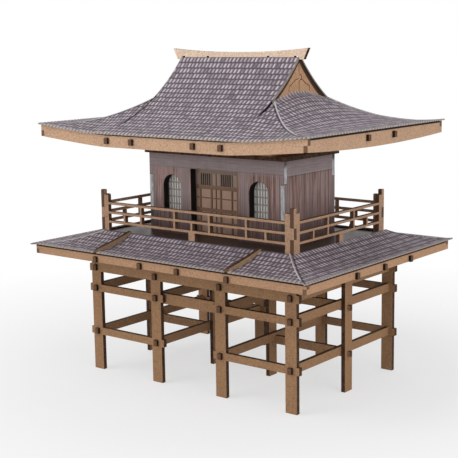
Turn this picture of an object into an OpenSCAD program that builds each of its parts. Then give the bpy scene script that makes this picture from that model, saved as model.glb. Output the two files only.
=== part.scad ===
// Two-storey temple gate on stilts, a tabletop scenery building cut from 3 mm board and tile card.
// Sizes in millimetres. +X runs along the ridge, -Y is the front with the doors, Z = 0 is the table.
// The origin is the middle of the feet. The upper roof lifts off as one piece.

/* [Boards] */
// thickness of the cut boards
board = 3; // [2.5:0.1:3.6]
// thickness of the tile card
card = 1; // [0.8:0.1:1.2]
// how far a tenon stands out of the face that it passes through
tenon_out = 2; // [1:0.5:3]
// height of a rail tenon
tenon_h = 4.2; // [3.5:0.1:5]
// room on each side of a tenon or a lap in its slot
slot_gap = 0.1; // [0.05:0.05:0.2]

/* [Stilts] */
// centre of a corner post from the middle, along the length
corner_post_x = 87.1; // [72:0.1:105]
// centre of a gate post from the middle, along the length
gate_post_x = 29; // [24:0.5:35]
// outer face of the front and rear posts from the middle
stilt_y = 61.5; // [51:0.5:74]
// width of a post
post_w = 9; // [7.5:0.5:11]
// height of the stilts, which is the underside of the deck
stilt_h = 99.2; // [92:0.2:120]
// underside of the low rails
low_z = 26.3; // [21:0.1:32]
// underside of the middle rails
mid_z = 58.7; // [50:0.1:64]
// underside of the header boards
header_z = 73.6; // [70:0.2:80]
// height of a rail cut in the front and rear frames
frame_rail_h = 5.3; // [4:0.1:6.5]
// height of a rail that runs front to back
cross_rail_h = 6; // [5:0.1:7.2]
// height of a spine rail
spine_h = 6; // [5:0.1:7.2]
// how far a spine rail hangs below the rails that it crosses
spine_drop = 2.1; // [1:0.1:3]
// height of the lintel over the gate passage
lintel_h = 7.6; // [6:0.1:9]
// how far the lintel hangs below the middle rails
lintel_drop = 1.5; // [0:0.1:3]
// height of the lintel's end stub
stub_h = 2.6; // [2:0.1:3.4]

/* [Lower roof] */
// reach of the lower roof from the railing face to the fascia face, along the length
low_reach_x = 33.4; // [27:0.1:41]
// reach of the lower roof from the railing face to the fascia face, front and rear
low_reach_y = 34.3; // [28:0.1:42]
// height of the lower fascia boards
low_fascia_h = 6.6; // [5:0.1:8]
// drop of the tile card from the railing to the eave
low_drop = 8; // [6.5:0.1:9.6]
// how far the tile card stands over the fascia
low_overhang = 1.3; // [0.5:0.1:2]
// top of the tile card above the deck, at the railing
low_card_over_deck = 1.8; // [1.7:0.1:2.6]
// ledge of the deck board outside the railing
deck_ledge = 1.3; // [0.5:0.1:1.4]
// centre of a crest rib from the middle
crest_rib_x = 58; // [47:0.5:66]
// height of a crest rib over the tile card at its ends
crest_over = 1.3; // [0.8:0.1:2]
// extra height of a crest rib half way down
crest_rise = 2; // [1:0.1:3]
// centre of a short front rafter from the middle
short_rafter_x = 16.5; // [13:0.5:20]
// centre of the outer side rafters from the middle
side_rafter_y = 34; // [28:0.5:41]
// height of a rafter tenon
rafter_tenon_h = 4; // [3:0.1:5]

/* [Railing] */
// centre height of the bottom rail over the deck
rail_bottom = 8.1; // [6.5:0.1:10]
// spacing of the three rails
rail_pitch = 6.7; // [5.5:0.1:8]
// height of a railing bar
rail_bar = 1.6; // [1.2:0.1:2]
// width of a front railing post
rail_post_w = 4; // [3:0.1:5]
// height of the railing posts over the deck
rail_post_h = 27.6; // [25:0.1:33]
// height of the corner tabs over the railing posts
rail_tab_h = 3.6; // [2:0.1:5]
// width of a side railing post beside its corner tab
rail_side_post_w = 3.6; // [3:0.1:5]
// underside of the corner tongue over the deck
tongue_z = 11; // [9:0.1:14]
// height of the corner tongue
tongue_h = 7.4; // [5:0.1:9]
// width of the foot in the middle of the front and rear railings
rail_foot_w = 5.5; // [4:0.1:7]

/* [Room] */
// outer face of the side walls from the middle
room_x = 60.3; // [50:0.1:72]
// outer face of the front and rear walls from the middle
room_y = 30.3; // [26:0.1:34.5]
// height of the walls
room_h = 57.5; // [54:0.5:69]
// height over the deck where the corner joint changes sides
corner_step = 41.8; // [34:0.1:49]
// centre of a window from the middle
window_x = 38.9; // [36.5:0.1:44]
// width of a window
window_w = 16.3; // [13:0.1:19.5]
// sill of a window over the deck
window_sill = 16.3; // [13:0.1:20]
// height of a window
window_h = 26.3; // [22:0.1:32]
// width of the door opening
door_w = 42.6; // [36:0.1:48]
// height of the door opening
door_h = 47.8; // [43:0.1:52]
// how deep the doors and the lattices sit behind the face of the walls
opening_depth = 5.7; // [4:0.1:7]
// where the seam between the doors stands, from the middle
door_seam_x = -3.1; // [-4:0.1:4]
// thickness of a door leaf
leaf_t = 2; // [1.5:0.1:2.5]
// cover of a door leaf or a window lattice behind the wall
leaf_cover = 3; // [2:0.1:4]
// thickness of a window lattice
lattice_t = 1; // [0.8:0.1:1.2]

/* [Upper roof] */
// how far the roof's base board stands over the walls
base_over = 2.3; // [1:0.1:4]
// room between the walls and the locating board of the roof
locator_gap = 0.5; // [0.3:0.1:1]
// outer face of the side fascias from the middle
roof_x = 115.6; // [96:0.1:130]
// outer face of the front and rear fascias from the middle
roof_y = 83.3; // [72:0.1:100]
// centre of a gable board from the middle
gable_x = 49.8; // [42:0.1:58]
// centre of an inner truss from the middle
truss_x = 27; // [22.5:0.1:32]
// top of the tile card at the ridge, over the wall tops
ridge_rise = 67.4; // [62:0.2:80]
// top of the tile card at the eave, over the wall tops
eave_rise = 18.2; // [16:0.1:21]
// radius of the curve of the main slopes
slope_r = 145; // [125:1:300]
// how far the tile card stands over the fascia
roof_overhang = 1.5; // [0.5:0.1:2.5]
// how far the main slopes stand over the gable boards
verge_over = 1.2; // [0.5:0.1:3]
// sweep of the eave up to the corners
eave_sweep = 4.9; // [2:0.1:6]
// extra sweep of the tile card over the fascia at the corners
card_sweep = 0.7; // [0.6:0.1:1.5]
// height of the front and rear fascias
fascia_h = 8.1; // [7:0.1:9.7]
// height by which the side fascia grows to its middle
fascia_belly = 2.5; // [0:0.1:4]
// rise of the side skirts against the gable
skirt_bump = 5.5; // [3:0.1:7]
// centre of a side rafter from the middle
roof_rafter_y = 16.3; // [13:0.1:20]
// room between the side rafters and the skirts over them
rafter_gap = 0.5; // [0.4:0.05:0.8]
// top of the ridge board over the tile card, in the middle
ridge_over = 3.5; // [2.5:0.1:5]
// sweep of the ridge board up to its ends
ridge_sweep = 2.7; // [0:0.1:4]
// length of the ridge board beyond the gable boards, at its top
ridge_end = 8.5; // [6:0.1:12]
// depth of the ridge board below the tile card, between the trusses
ridge_keel = 6.5; // [3:0.1:9]

/* [Hidden] */
$fn = 48;
steps = 10;          // straight runs in the lower roof's curve
runs = 14;           // straight runs in a main slope's curve
first = 5;           // the run where the skirt card starts under the main slope
cells = 8;           // cells across a corner of the skirt card
half = board / 2;

// stilts
post_in_y = stilt_y - board;
cross_x = [gate_post_x, corner_post_x];
spine_low = low_z - spine_drop;
spine_mid = mid_z - spine_drop;
spine_lap = 4.1 / 6 * spine_h;      // lap of a spine rail, from its underside
lintel_z = mid_z - lintel_drop;
tenon_dz = 0.5;                      // step under a rail tenon
head_tenon_z = header_z + 0.9;
m_out = corner_post_x + half;        // inner face of the outboard middle posts
m_in = gate_post_x - half;           // outer face of the inboard middle posts

// deck and railing
deck_z = stilt_h + board;
rail_x = corner_post_x - half;       // outer face of the side railings
rail_y = stilt_y - 6.1;              // outer face of the front and rear railings
deck_x = rail_x + deck_ledge;
deck_y = rail_y + deck_ledge;

// lower roof
lf_x = rail_x + low_reach_x;
lf_y = rail_y + low_reach_y;
low_card_top = deck_z + low_card_over_deck;
low_eave_top = low_card_top - low_drop;
lf_top = low_eave_top - card;
lf_z = lf_top - low_fascia_h;
run_x = low_reach_x - board;
run_y = low_reach_y - board;
rafter_z = lf_z;
head_slot_z = lf_z + 3.6;            // tenon of a rafter in the header

// room
wall_top = deck_z + room_h;
spring = window_sill + window_h - window_w / 2;
tab_w = 10;
tab_x = 50;
tab_y = 13;

// upper roof
base_z = wall_top;
base_top = base_z + board;
gable_face = gable_x + half;
verge_x = gable_face + verge_over;
ze = base_z + eave_rise;
zr = base_z + ridge_rise;
ye = roof_y + roof_overhang;
xe = roof_x + roof_overhang;
hip_x0 = verge_x + 0.3;

// ---------- lower roof curve: s runs from 0 at the railing to 1 at the fascia's back ----------
function low_g(s) = 0.92 * pow(max(0, 1 - s), 2.1) + 0.08 * max(0, 1 - s);
function low_at(i) = low_eave_top + low_drop * low_g(i / steps);
function low_top(s) = s >= 1 ? low_eave_top :
    let (i = floor(s * steps), f = s * steps - i) low_at(i) * (1 - f) + low_at(i + 1) * f;
// top line of the card from distance a to distance b out of the railing face
function low_line(a, b, run) = concat(
    [[a, low_top(a / run)]],
    [for (i = [0 : steps]) if (i / steps * run > a + 0.001 && i / steps * run < b - 0.001) [i / steps * run, low_at(i)]],
    [[b, low_top(b / run)]]);
function lowered(line, d) = [for (p = line) [p[0], p[1] - d]];
function shifted(line, d) = [for (p = line) [p[0] + d, p[1]]];
function back(line) = [for (i = [len(line) - 1 : -1 : 0]) line[i]];

// ---------- main slope curve: an arc through the ridge point and the eave point ----------
span_y = ye - half;
span_z = zr - ze;
chord = sqrt(span_y * span_y + span_z * span_z);
arc_h = sqrt(slope_r * slope_r - chord * chord / 4);
arc_y = (half + ye) / 2 + arc_h * span_z / chord;
arc_z = (zr + ze) / 2 + arc_h * span_y / chord;
function arc_top(y) = arc_z - sqrt(slope_r * slope_r - pow(arc_y - y, 2));
function arc_sec(y) = slope_r / sqrt(slope_r * slope_r - pow(arc_y - y, 2));
function ys(i) = half + span_y * i / runs;
function top_at(i) = arc_top(ys(i));
function skin_at(i) = card * arc_sec(ys(i));
function under_at(i) = top_at(i) - skin_at(i);
function seg(y) = min(runs - 1, floor((y - half) / span_y * runs));
function lerp(a, b, f) = a * (1 - f) + b * f;
function seg_f(y) = (y - ys(seg(y))) / (span_y / runs);
function under(y) = lerp(under_at(seg(y)), under_at(seg(y) + 1), seg_f(y));
function under2(y) = lerp(under_at(seg(y)) - skin_at(seg(y)), under_at(seg(y) + 1) - skin_at(seg(y) + 1), seg_f(y));

// ---------- skirt card ----------
y0 = ys(first);
sweep_from = y0 + 0.48 * (ye - y0);
function part01(v) = min(1, max(0, v));
function sweep_x(x) = pow(part01((abs(x) - verge_x) / (xe - verge_x)), 1.25);
function sweep_y(y) = part01((y - sweep_from) / (ye - sweep_from));
function skirt_z(x, i) = under_at(i) + (eave_sweep + card_sweep) * sweep_x(x) * sweep_y(ys(i));
function hip_t(i) = (i - first) / (runs - first);
function hip_x(i) = hip_x0 + (xe - hip_x0) * hip_t(i);
function side_z(i, v) = skirt_z(hip_x(i), i) + skirt_bump * pow(1 - hip_t(i), 1.5) * pow(max(0, 1 - v * v), 1.4);

f_top0 = under2(roof_y);
function fascia_top(x) = f_top0 + eave_sweep * sweep_x(x) / sweep_x(roof_x);
corner_top = f_top0 + eave_sweep;    // top of the fascias where they meet
side_low = corner_top - fascia_h;
joint_z = corner_top - fascia_h / 2;
front_tenon_z = f_top0 - fascia_h / 2 + 0.3 - rafter_tenon_h / 2;
side_tenon_z = corner_top - 4.4 - rafter_tenon_h / 2;
// the side fascia stays under the card over its inner edge
function hip_under(i) = skirt_z(hip_x(i), i) - skin_at(i);
side_run = (xe - hip_x0) / (runs - first);
side_top = min(corner_top, lerp(hip_under(runs), hip_under(runs - 1), (xe - roof_x + board) / side_run) - 0.02);

// ---------- boards drawn flat, then stood up ----------
module board_xz(y, t) translate([0, y + t, 0]) rotate([90, 0, 0]) linear_extrude(t) children();
module board_yz(x, t) translate([x, 0, 0]) rotate([90, 0, 90]) linear_extrude(t) children();
module board_xy(z, t) translate([0, 0, z]) linear_extrude(t) children();
module box2(x, z, w, h) translate([x, z]) square([w, h]);
module mid2(x, z, w, h) translate([x - w / 2, z]) square([w, h]);
module both_x() { children(); mirror([1, 0, 0]) children(); }
module both_y() { children(); mirror([0, 1, 0]) children(); }
module slot2(x, z, h) mid2(x, z - slot_gap, board + 2 * slot_gap, h + 2 * slot_gap);

board_tan = [0.80, 0.69, 0.53];
print_brown = [0.46, 0.33, 0.33];
deck_grey = [0.62, 0.58, 0.55];
tile_grey = [0.42, 0.39, 0.43];
lattice_white = [0.80, 0.78, 0.74];

// ================= stilts =================
module leg_frame_shape() {
    difference() {
        union() {
            for (x = cross_x, s = [-1, 1]) mid2(s * x, 0, post_w, stilt_h);
            mid2(0, header_z, 2 * corner_post_x, stilt_h - header_z);
            mid2(0, header_z, 2 * (corner_post_x + post_w / 2 + tenon_out), frame_rail_h);
            for (s = [-1, 1], z = [low_z, mid_z])
                mid2(s * (corner_post_x + gate_post_x) / 2, z,
                    corner_post_x - gate_post_x + post_w + 2 * tenon_out, frame_rail_h);
        }
        for (x = cross_x, s = [-1, 1]) {
            slot2(s * x, low_z + tenon_dz, tenon_h);
            slot2(s * x, mid_z + tenon_dz, tenon_h);
            slot2(s * x, head_tenon_z, tenon_h);
        }
        for (x = [crest_rib_x, short_rafter_x], s = [-1, 1]) slot2(s * x, head_slot_z, rafter_tenon_h);
    }
}
module front_leg_frame() color(board_tan) board_xz(-stilt_y, board) leg_frame_shape();
module rear_leg_frame() color(board_tan) board_xz(stilt_y - board, board) leg_frame_shape();

// a rail from the front frame to the rear frame, with a tenon through each
module cross_rail_shape(z, h, tz) {
    box2(-post_in_y, z, 2 * post_in_y, h);
    box2(-stilt_y - tenon_out, tz, 2 * (stilt_y + tenon_out), tenon_h);
}
module at_cross_planes() for (x = cross_x, s = [-1, 1]) board_yz(s * x - half, board) children();
module top_cross_boards() color(board_tan) {
    for (s = [-1, 1]) board_yz(s * gate_post_x - half, board)
        cross_rail_shape(header_z, stilt_h - header_z, head_tenon_z);
    for (s = [-1, 1]) board_yz(s * corner_post_x - half, board) difference() {
        cross_rail_shape(header_z, stilt_h - header_z, head_tenon_z);
        for (y = [-side_rafter_y, side_rafter_y]) slot2(y, head_slot_z, rafter_tenon_h);
    }
}
module lapped_cross_shape(z, spine_z) difference() {
    cross_rail_shape(z, cross_rail_h, z + tenon_dz);
    mid2(0, z - 1, board + 2 * slot_gap, spine_z + spine_lap - z + 1);
}
module middle_cross_rails() color(board_tan) {
    for (s = [-1, 1]) board_yz(s * corner_post_x - half, board) lapped_cross_shape(mid_z, spine_mid);
    for (s = [-1, 1]) board_yz(s * gate_post_x - half, board) difference() {
        lapped_cross_shape(mid_z, spine_mid);
        for (f = [-1, 1]) mid2(f * (post_in_y - half), lintel_z + lintel_h - stub_h - slot_gap,
            board + 2 * slot_gap, 2 * stub_h + 2);
    }
}
module low_cross_rails() color(board_tan) at_cross_planes() lapped_cross_shape(low_z, spine_low);

module middle_posts() color(board_tan) both_x() {
    board_yz(m_out, board) difference() {
        mid2(0, 0, post_w, stilt_h);
        slot2(0, spine_low + 0.6, spine_lap - 0.6);
        slot2(0, spine_mid + 0.6, spine_lap - 0.6);
        slot2(0, head_slot_z, rafter_tenon_h);
    }
    board_yz(m_in - board, board) difference() {
        mid2(0, 0, post_w, stilt_h);
        slot2(0, spine_low, spine_h);
        slot2(0, spine_mid, spine_h);
    }
}
module spine_notches(z, list) for (x = list)
    mid2(x, z + spine_lap, board + 2 * slot_gap, spine_h);
module middle_spine_rail() color(board_tan) board_xz(-half, board) difference() {
    union() {
        mid2(0, spine_mid, 2 * m_out, spine_h);
        mid2(0, spine_mid + 0.6, 2 * (m_out + board + tenon_out), spine_lap - 0.6);
    }
    spine_notches(spine_mid, [-corner_post_x, -gate_post_x, gate_post_x, corner_post_x]);
}
module low_spine_rails() color(board_tan) both_x() board_xz(-half, board) difference() {
    union() {
        box2(m_in - board, spine_low, m_out - m_in + board, spine_h);
        box2(m_in, spine_low + 0.6, m_out + board + tenon_out - m_in, spine_lap - 0.6);
    }
    spine_notches(spine_low, [gate_post_x, corner_post_x]);
}
module lintel_shape() {
    mid2(0, lintel_z, 2 * m_in, lintel_h);
    mid2(0, lintel_z + lintel_h - stub_h, 2 * (gate_post_x + half + tenon_out), stub_h);
}
module gate_lintel_front() color(board_tan) board_xz(-post_in_y, board) lintel_shape();
module gate_lintel_rear() color(board_tan) board_xz(post_in_y - board, board) lintel_shape();

// ================= deck =================
module deck_board() color(deck_grey) board_xy(stilt_h, board) difference() {
    square([2 * deck_x, 2 * deck_y], center = true);
    for (s = [-1, 1], f = [-1, 1]) {
        translate([s * tab_x, f * (room_y - half)])
            square([tab_w + 2 * slot_gap, board + 2 * slot_gap], center = true);
        translate([s * (room_x - half), f * tab_y])
            square([board + 2 * slot_gap, tab_w + 2 * slot_gap], center = true);
    }
}

// ================= lower roof =================
module low_fascia_fr() difference() {
    union() {
        mid2(0, lf_z, 2 * (lf_x - board), low_fascia_h);
        mid2(0, lf_z + low_fascia_h / 2, 2 * lf_x, low_fascia_h / 2);
    }
    for (x = [crest_rib_x, short_rafter_x], s = [-1, 1])
        mid2(s * x, lf_z - 1, board + 2 * slot_gap, rafter_tenon_h + 1 + slot_gap);
}
module low_fascia_side() difference() {
    union() {
        mid2(0, lf_z, 2 * (lf_y - board), low_fascia_h);
        mid2(0, lf_z, 2 * lf_y, low_fascia_h / 2);
    }
    for (y = [-side_rafter_y, 0, side_rafter_y])
        mid2(y, lf_z - 1, board + 2 * slot_gap, rafter_tenon_h + 1 + slot_gap);
}
module low_fascia_front() color(board_tan) board_xz(-lf_y, board) low_fascia_fr();
module low_fascia_rear() color(board_tan) board_xz(lf_y - board, board) low_fascia_fr();
module low_fascia_left() color(board_tan) board_yz(-lf_x, board) low_fascia_side();
module low_fascia_right() color(board_tan) board_yz(lf_x - board, board) low_fascia_side();

// a rafter from the face at distance a out of the railing, with a tenon at each end
module rafter_shape(a, run) {
    line = lowered(low_line(a, run, run), card);
    polygon(concat([[a, rafter_z]], line, [[run, rafter_z]]));
    box2(a - board, head_slot_z, board + 1, rafter_tenon_h);
    box2(run - 1, rafter_z, 1 + board + tenon_out, rafter_tenon_h);
}
crest_end = low_reach_y + 0.3;
function crest_line(a, b) = [for (p = low_line(a, b, run_y))
    [p[0], p[1] + crest_over + crest_rise * pow(max(0, sin(180 * min(1, p[0] / crest_end))), 0.8)]];
module crest_shape() {
    a = stilt_y - rail_y;
    e = crest_end;
    polygon(concat([[a, rafter_z], [a, stilt_h], [deck_ledge, stilt_h], [deck_ledge, deck_z], [0, deck_z]],
        crest_line(0, e), [[e, lf_top], [run_y, lf_top], [run_y, rafter_z]]));
    box2(a - board, head_slot_z, board + 1, rafter_tenon_h);
    box2(run_y - 1, rafter_z, 1 + board + tenon_out, rafter_tenon_h);
}
// stands a front-to-back shape, drawn outward from the railing face, at the rear
module outward_y(x) translate([0, rail_y, 0]) board_yz(x - half, board) children();
module outward_x(y) translate([rail_x, 0, 0]) board_xz(y - half, board) children();
module crest_ribs() color(board_tan) both_y() for (s = [-1, 1]) outward_y(s * crest_rib_x) crest_shape();
module short_rafters() color(board_tan) both_y() for (s = [-1, 1])
    outward_y(s * short_rafter_x) rafter_shape(stilt_y - rail_y, run_y);
module side_rafters() color(board_tan) both_x() {
    for (s = [-1, 1]) outward_x(s * side_rafter_y) rafter_shape(board, run_x);
    outward_x(0) rafter_shape(2 * board, run_x);
}

module low_card_shape(run, reach) {
    line = concat(low_line(0, run, run), [[reach + low_overhang, low_eave_top]]);
    polygon(concat(line, back(lowered(line, card))));
}
lo = low_overhang;
module low_card_fr() board_yz(-lf_x - 5, 2 * lf_x + 10) translate([rail_y, 0]) low_card_shape(run_y, low_reach_y);
module low_plan_fr() polygon([[-rail_x, rail_y], [rail_x, rail_y], [lf_x - board, lf_y - board], [lf_x + lo, lf_y + lo],
    [-lf_x - lo, lf_y + lo], [-lf_x + board, lf_y - board]]);
module low_plan_side() polygon([[rail_x, -rail_y], [rail_x, rail_y], [lf_x - board, lf_y - board], [lf_x + lo, lf_y + lo],
    [lf_x + lo, -lf_y - lo], [lf_x - board, -lf_y + board]]);
module low_card_middle() intersection() {
    low_card_fr();
    translate([-crest_rib_x + half, rail_y - 5, lf_z]) cube([2 * crest_rib_x - board, low_reach_y + 20, low_drop + 20]);
}
module low_card_end() intersection() {
    low_card_fr();
    translate([0, 0, lf_z]) linear_extrude(low_drop + 20) intersection() {
        low_plan_fr();
        translate([crest_rib_x + half, 0]) square([lf_x, lf_y + 20]);
    }
}
module low_tiles_rear_middle() color(tile_grey) low_card_middle();
module low_tiles_rear_right() color(tile_grey) low_card_end();
module low_tiles_rear_left() color(tile_grey) mirror([1, 0, 0]) low_card_end();
module low_tiles_front_middle() color(tile_grey) mirror([0, 1, 0]) low_card_middle();
module low_tiles_front_right() color(tile_grey) mirror([0, 1, 0]) low_card_end();
module low_tiles_front_left() color(tile_grey) rotate([0, 0, 180]) low_card_end();
module low_card_side() intersection() {
    translate([rail_x, 0, 0]) board_xz(-lf_y - 5, 2 * lf_y + 10) low_card_shape(run_x, low_reach_x);
    translate([0, 0, lf_z]) linear_extrude(low_drop + 20) low_plan_side();
}
module low_tiles_right() color(tile_grey) low_card_side();
module low_tiles_left() color(tile_grey) mirror([1, 0, 0]) low_card_side();

// ================= railing =================
rails = [for (i = [0 : 2]) rail_bottom + i * rail_pitch];
module rail_bars(h) for (z = rails) mid2(0, deck_z + z - rail_bar / 2, 2 * h, rail_bar);
module upright(x) mid2(x, deck_z + rails[0], rail_bar, rails[2] - rails[0]);
module short_upright(x) mid2(x, deck_z + rails[0], rail_bar, rails[1] - rails[0]);
module railing_fr_shape() {
    w = rail_x - board;
    rail_bars(w - 1);
    for (s = [-1, 1]) {
        box2(s > 0 ? w - rail_post_w : -w, deck_z, rail_post_w, rail_post_h);
        box2(s > 0 ? w - 1 : -rail_x, deck_z + tongue_z, board + 1, tongue_h);
        upright(s * 15.5);
        upright(s * 47);
        short_upright(s * 63);
    }
    short_upright(0);
    mid2(0, deck_z, rail_foot_w, rails[0]);
}
module railing_side_shape() difference() {
    union() {
        rail_bars(rail_y - board - 1);
        for (s = [-1, 1]) {
            box2(s > 0 ? rail_y - board : -rail_y, deck_z, board, rail_post_h + rail_tab_h);
            box2(s > 0 ? rail_y - board - rail_side_post_w : -rail_y, deck_z, board + rail_side_post_w, rail_post_h);
            upright(s * 16);
            short_upright(s * 33);
        }
        mid2(0, deck_z, rail_foot_w - 0.7, rails[0]);
    }
    for (s = [-1, 1]) mid2(s * rail_y, deck_z + tongue_z, 2 * board, tongue_h);
}
module railing_front() color(board_tan) board_xz(-rail_y, board) railing_fr_shape();
module railing_rear() color(board_tan) board_xz(rail_y - board, board) railing_fr_shape();
module railing_left() color(board_tan) board_yz(-rail_x, board) railing_side_shape();
module railing_right() color(board_tan) board_yz(rail_x - board, board) railing_side_shape();

// ================= room =================
module wall_fr_blank() {
    mid2(0, deck_z, 2 * (room_x - board), room_h);
    mid2(0, deck_z + corner_step, 2 * room_x, room_h - corner_step);
    for (s = [-1, 1]) mid2(s * tab_x, stilt_h, tab_w, board + 1);
}
module arch2(grow) {
    mid2(0, window_sill - grow, window_w + 2 * grow, spring - window_sill + grow);
    translate([0, spring]) circle(d = window_w + 2 * grow);
}
module windows2() for (s = [-1, 1]) translate([s * window_x, deck_z]) arch2(0);
module wall_front() color(print_brown) board_xz(-room_y, board) difference() {
    wall_fr_blank();
    windows2();
    mid2(0, deck_z - 1, door_w, door_h + 1);
}
module wall_rear() color(print_brown) board_xz(room_y - board, board) difference() {
    wall_fr_blank();
    windows2();
}
module wall_side_shape() {
    mid2(0, deck_z, 2 * room_y, corner_step);
    mid2(0, deck_z, 2 * (room_y - board), room_h);
    for (s = [-1, 1]) mid2(s * tab_y, stilt_h, tab_w, board + 1);
}
module wall_left() color(print_brown) board_yz(-room_x, board) wall_side_shape();
module wall_right() color(print_brown) board_yz(room_x - board, board) wall_side_shape();

leaf_side = door_w / 2 + leaf_cover;
leaf_y = -room_y + opening_depth;
panel_x = 4.9;
panel_w = 8.8;
strip_w = 3.3;
edge_strip_w = 3.8;
leaf_rows = [[2.6, 6.9], [10.2, 6.9], [19.7, 6.9], [27.3, 5.9]];
lattice_row = [36.1, 8.3];
// the right leaf, or the left one drawn on the right of the seam
module leaf_shape(s) box2(0, deck_z, leaf_side - s * door_seam_x, door_h + leaf_cover);
module leaf_slots() for (i = [0 : 4]) box2(panel_x + i * 1.85, deck_z + lattice_row[0], 1.1, lattice_row[1]);
module leaf_panels() {
    for (r = leaf_rows) box2(panel_x, deck_z + r[0], panel_w, r[1]);
    for (r = concat(leaf_rows, [lattice_row])) {
        box2(0.3, deck_z + r[0], strip_w, r[1]);
        box2(panel_x + panel_w + 1.1, deck_z + r[0], edge_strip_w, r[1]);
    }
}
// the frame behind the wall's opening, on which a leaf hangs
module leaf_jamb(s) difference() {
    leaf_shape(s);
    translate([-s * door_seam_x, 0]) mid2(0, deck_z - 1, door_w, door_h + 1);
}
module leaf(s) {
    board_xz(leaf_y + 0.6, leaf_t - 0.6) difference() { leaf_shape(s); leaf_slots(); }
    board_xz(leaf_y, 0.7) difference() { leaf_shape(s); leaf_slots(); leaf_panels(); }
    board_xz(-room_y + board, opening_depth - board + 0.5) leaf_jamb(s);
}
module door_right() color(print_brown) translate([door_seam_x, 0, 0]) leaf(1);
module door_left() color(print_brown) translate([door_seam_x, 0, 0]) mirror([1, 0, 0]) leaf(-1);

// a lattice: a backing sheet with raised bars in a deep frame, behind each window
module lattice_sheet() translate([0, deck_z]) arch2(leaf_cover);
module lattice_frame() difference() { lattice_sheet(); translate([0, deck_z]) arch2(0); }
module lattice_bars() intersection() {
    lattice_sheet();
    union() {
        lattice_frame();
        for (i = [0 : 3]) mid2(0, deck_z + window_sill + 3.9 + i * 5.15, window_w + 2, 0.9);
        for (x = [1.15, 3.45, 5.75], s = [-1, 1]) mid2(s * x, deck_z + window_sill - 1, 0.9, window_h + 2);
    }
}
module lattice() {
    board_xz(0.4, lattice_t - 0.4) lattice_sheet();
    board_xz(0, 0.5) lattice_bars();
    board_xz(board - opening_depth, opening_depth - board + 0.2) lattice_frame();
}
module window_lattices() color(lattice_white) for (s = [-1, 1]) {
    translate([s * window_x, leaf_y, 0]) lattice();
    translate([s * window_x, -leaf_y, 0]) mirror([0, 1, 0]) lattice();
}

// ================= upper roof =================
module roof_base_board() color(board_tan) board_xy(base_z, board)
    square([2 * (room_x + base_over), 2 * (room_y + base_over)], center = true);
module roof_locator() color(board_tan) board_xy(base_z - board, board)
    square([2 * (room_x - board - locator_gap), 2 * (room_y - board - locator_gap)], center = true);

// the full-depth shape of a gable board or an inner truss
truss_end = roof_y - board;
foot_y = room_y + base_over;
tip_z = f_top0 - fascia_h + 1.2;
function truss_line() = concat(
    [for (i = [0 : first]) [ys(i), under_at(i)]],
    [for (i = [first : runs]) if (ys(i) < truss_end - 0.01) [ys(i), under_at(i) - skin_at(i)]],
    [[truss_end, under2(truss_end)]]);
function truss_side() = concat(truss_line(), [
    [truss_end, front_tenon_z + rafter_tenon_h], [roof_y + tenon_out, front_tenon_z + rafter_tenon_h],
    [roof_y + tenon_out, front_tenon_z], [truss_end, front_tenon_z], [truss_end, tip_z], [foot_y, base_top]]);
module truss_shape() polygon(concat(truss_side(), [for (p = back(truss_side())) [-p[0], p[1]]]));

// shallow line of width w through a list of points
module line2(list, w) for (i = [0 : len(list) - 2]) {
    a = list[i];
    b = list[i + 1];
    d = b - a;
    n = norm(d);
    translate(a) rotate(atan2(d[1], d[0])) translate([-w / 2, -w / 2]) square([n + w, w]);
}
gz = base_z;
module gable_lines() {
    line2([[0, gz + 63.6], [0, gz + 57]], 0.5);
    line2([[0.6, gz + 56], [2.7, gz + 55.3], [3.1, gz + 53.4], [1, gz + 51.6], [-0.4, gz + 50.7]], 0.5);
    line2([[-1, gz + 53], [-4.4, gz + 52.3], [-9.3, gz + 49.2], [-11.7, gz + 47.9], [-11.8, gz + 44.8]], 0.5);
    line2([[1.6, gz + 52.6], [4.3, gz + 51.9], [8.1, gz + 49.4], [12.3, gz + 47.8], [12.3, gz + 44.8]], 0.5);
    line2([[0, gz + 50.2], [0, gz + 44.6]], 0.5);
}
engrave = 0.3;
module gable_board() difference() {
    board_yz(gable_x - half, board) truss_shape();
    board_yz(gable_face - engrave, 1) gable_lines();
}
module gable_right() color(board_tan) gable_board();
module gable_left() color(board_tan) mirror([1, 0, 0]) gable_board();
module inner_truss_right() color(board_tan) board_yz(truss_x - half, board) truss_shape();
module inner_truss_left() color(board_tan) board_yz(-truss_x - half, board) truss_shape();

function side_under(i, y) = side_z(i, y / ys(i)) - skin_at(i) - rafter_gap;
side_face = roof_x - board;
module roof_rafter_shape() {
    pts = [for (i = [first : runs]) if (hip_x(i) > gable_face + 0.01 && hip_x(i) < side_face - 0.01)
        [i == first ? gable_face : hip_x(i), side_under(i, roof_rafter_y)]];
    polygon(concat([[gable_face, base_top + 4]], pts, [[side_face, side_top - 0.4], [side_face, side_low - fascia_belly + 1.2]]));
    box2(side_face - 1, side_tenon_z, 1 + board + tenon_out, rafter_tenon_h);
}
module roof_rafters() color(board_tan) both_x() for (s = [-1, 1]) board_xz(s * roof_rafter_y - half, board) roof_rafter_shape();

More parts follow.
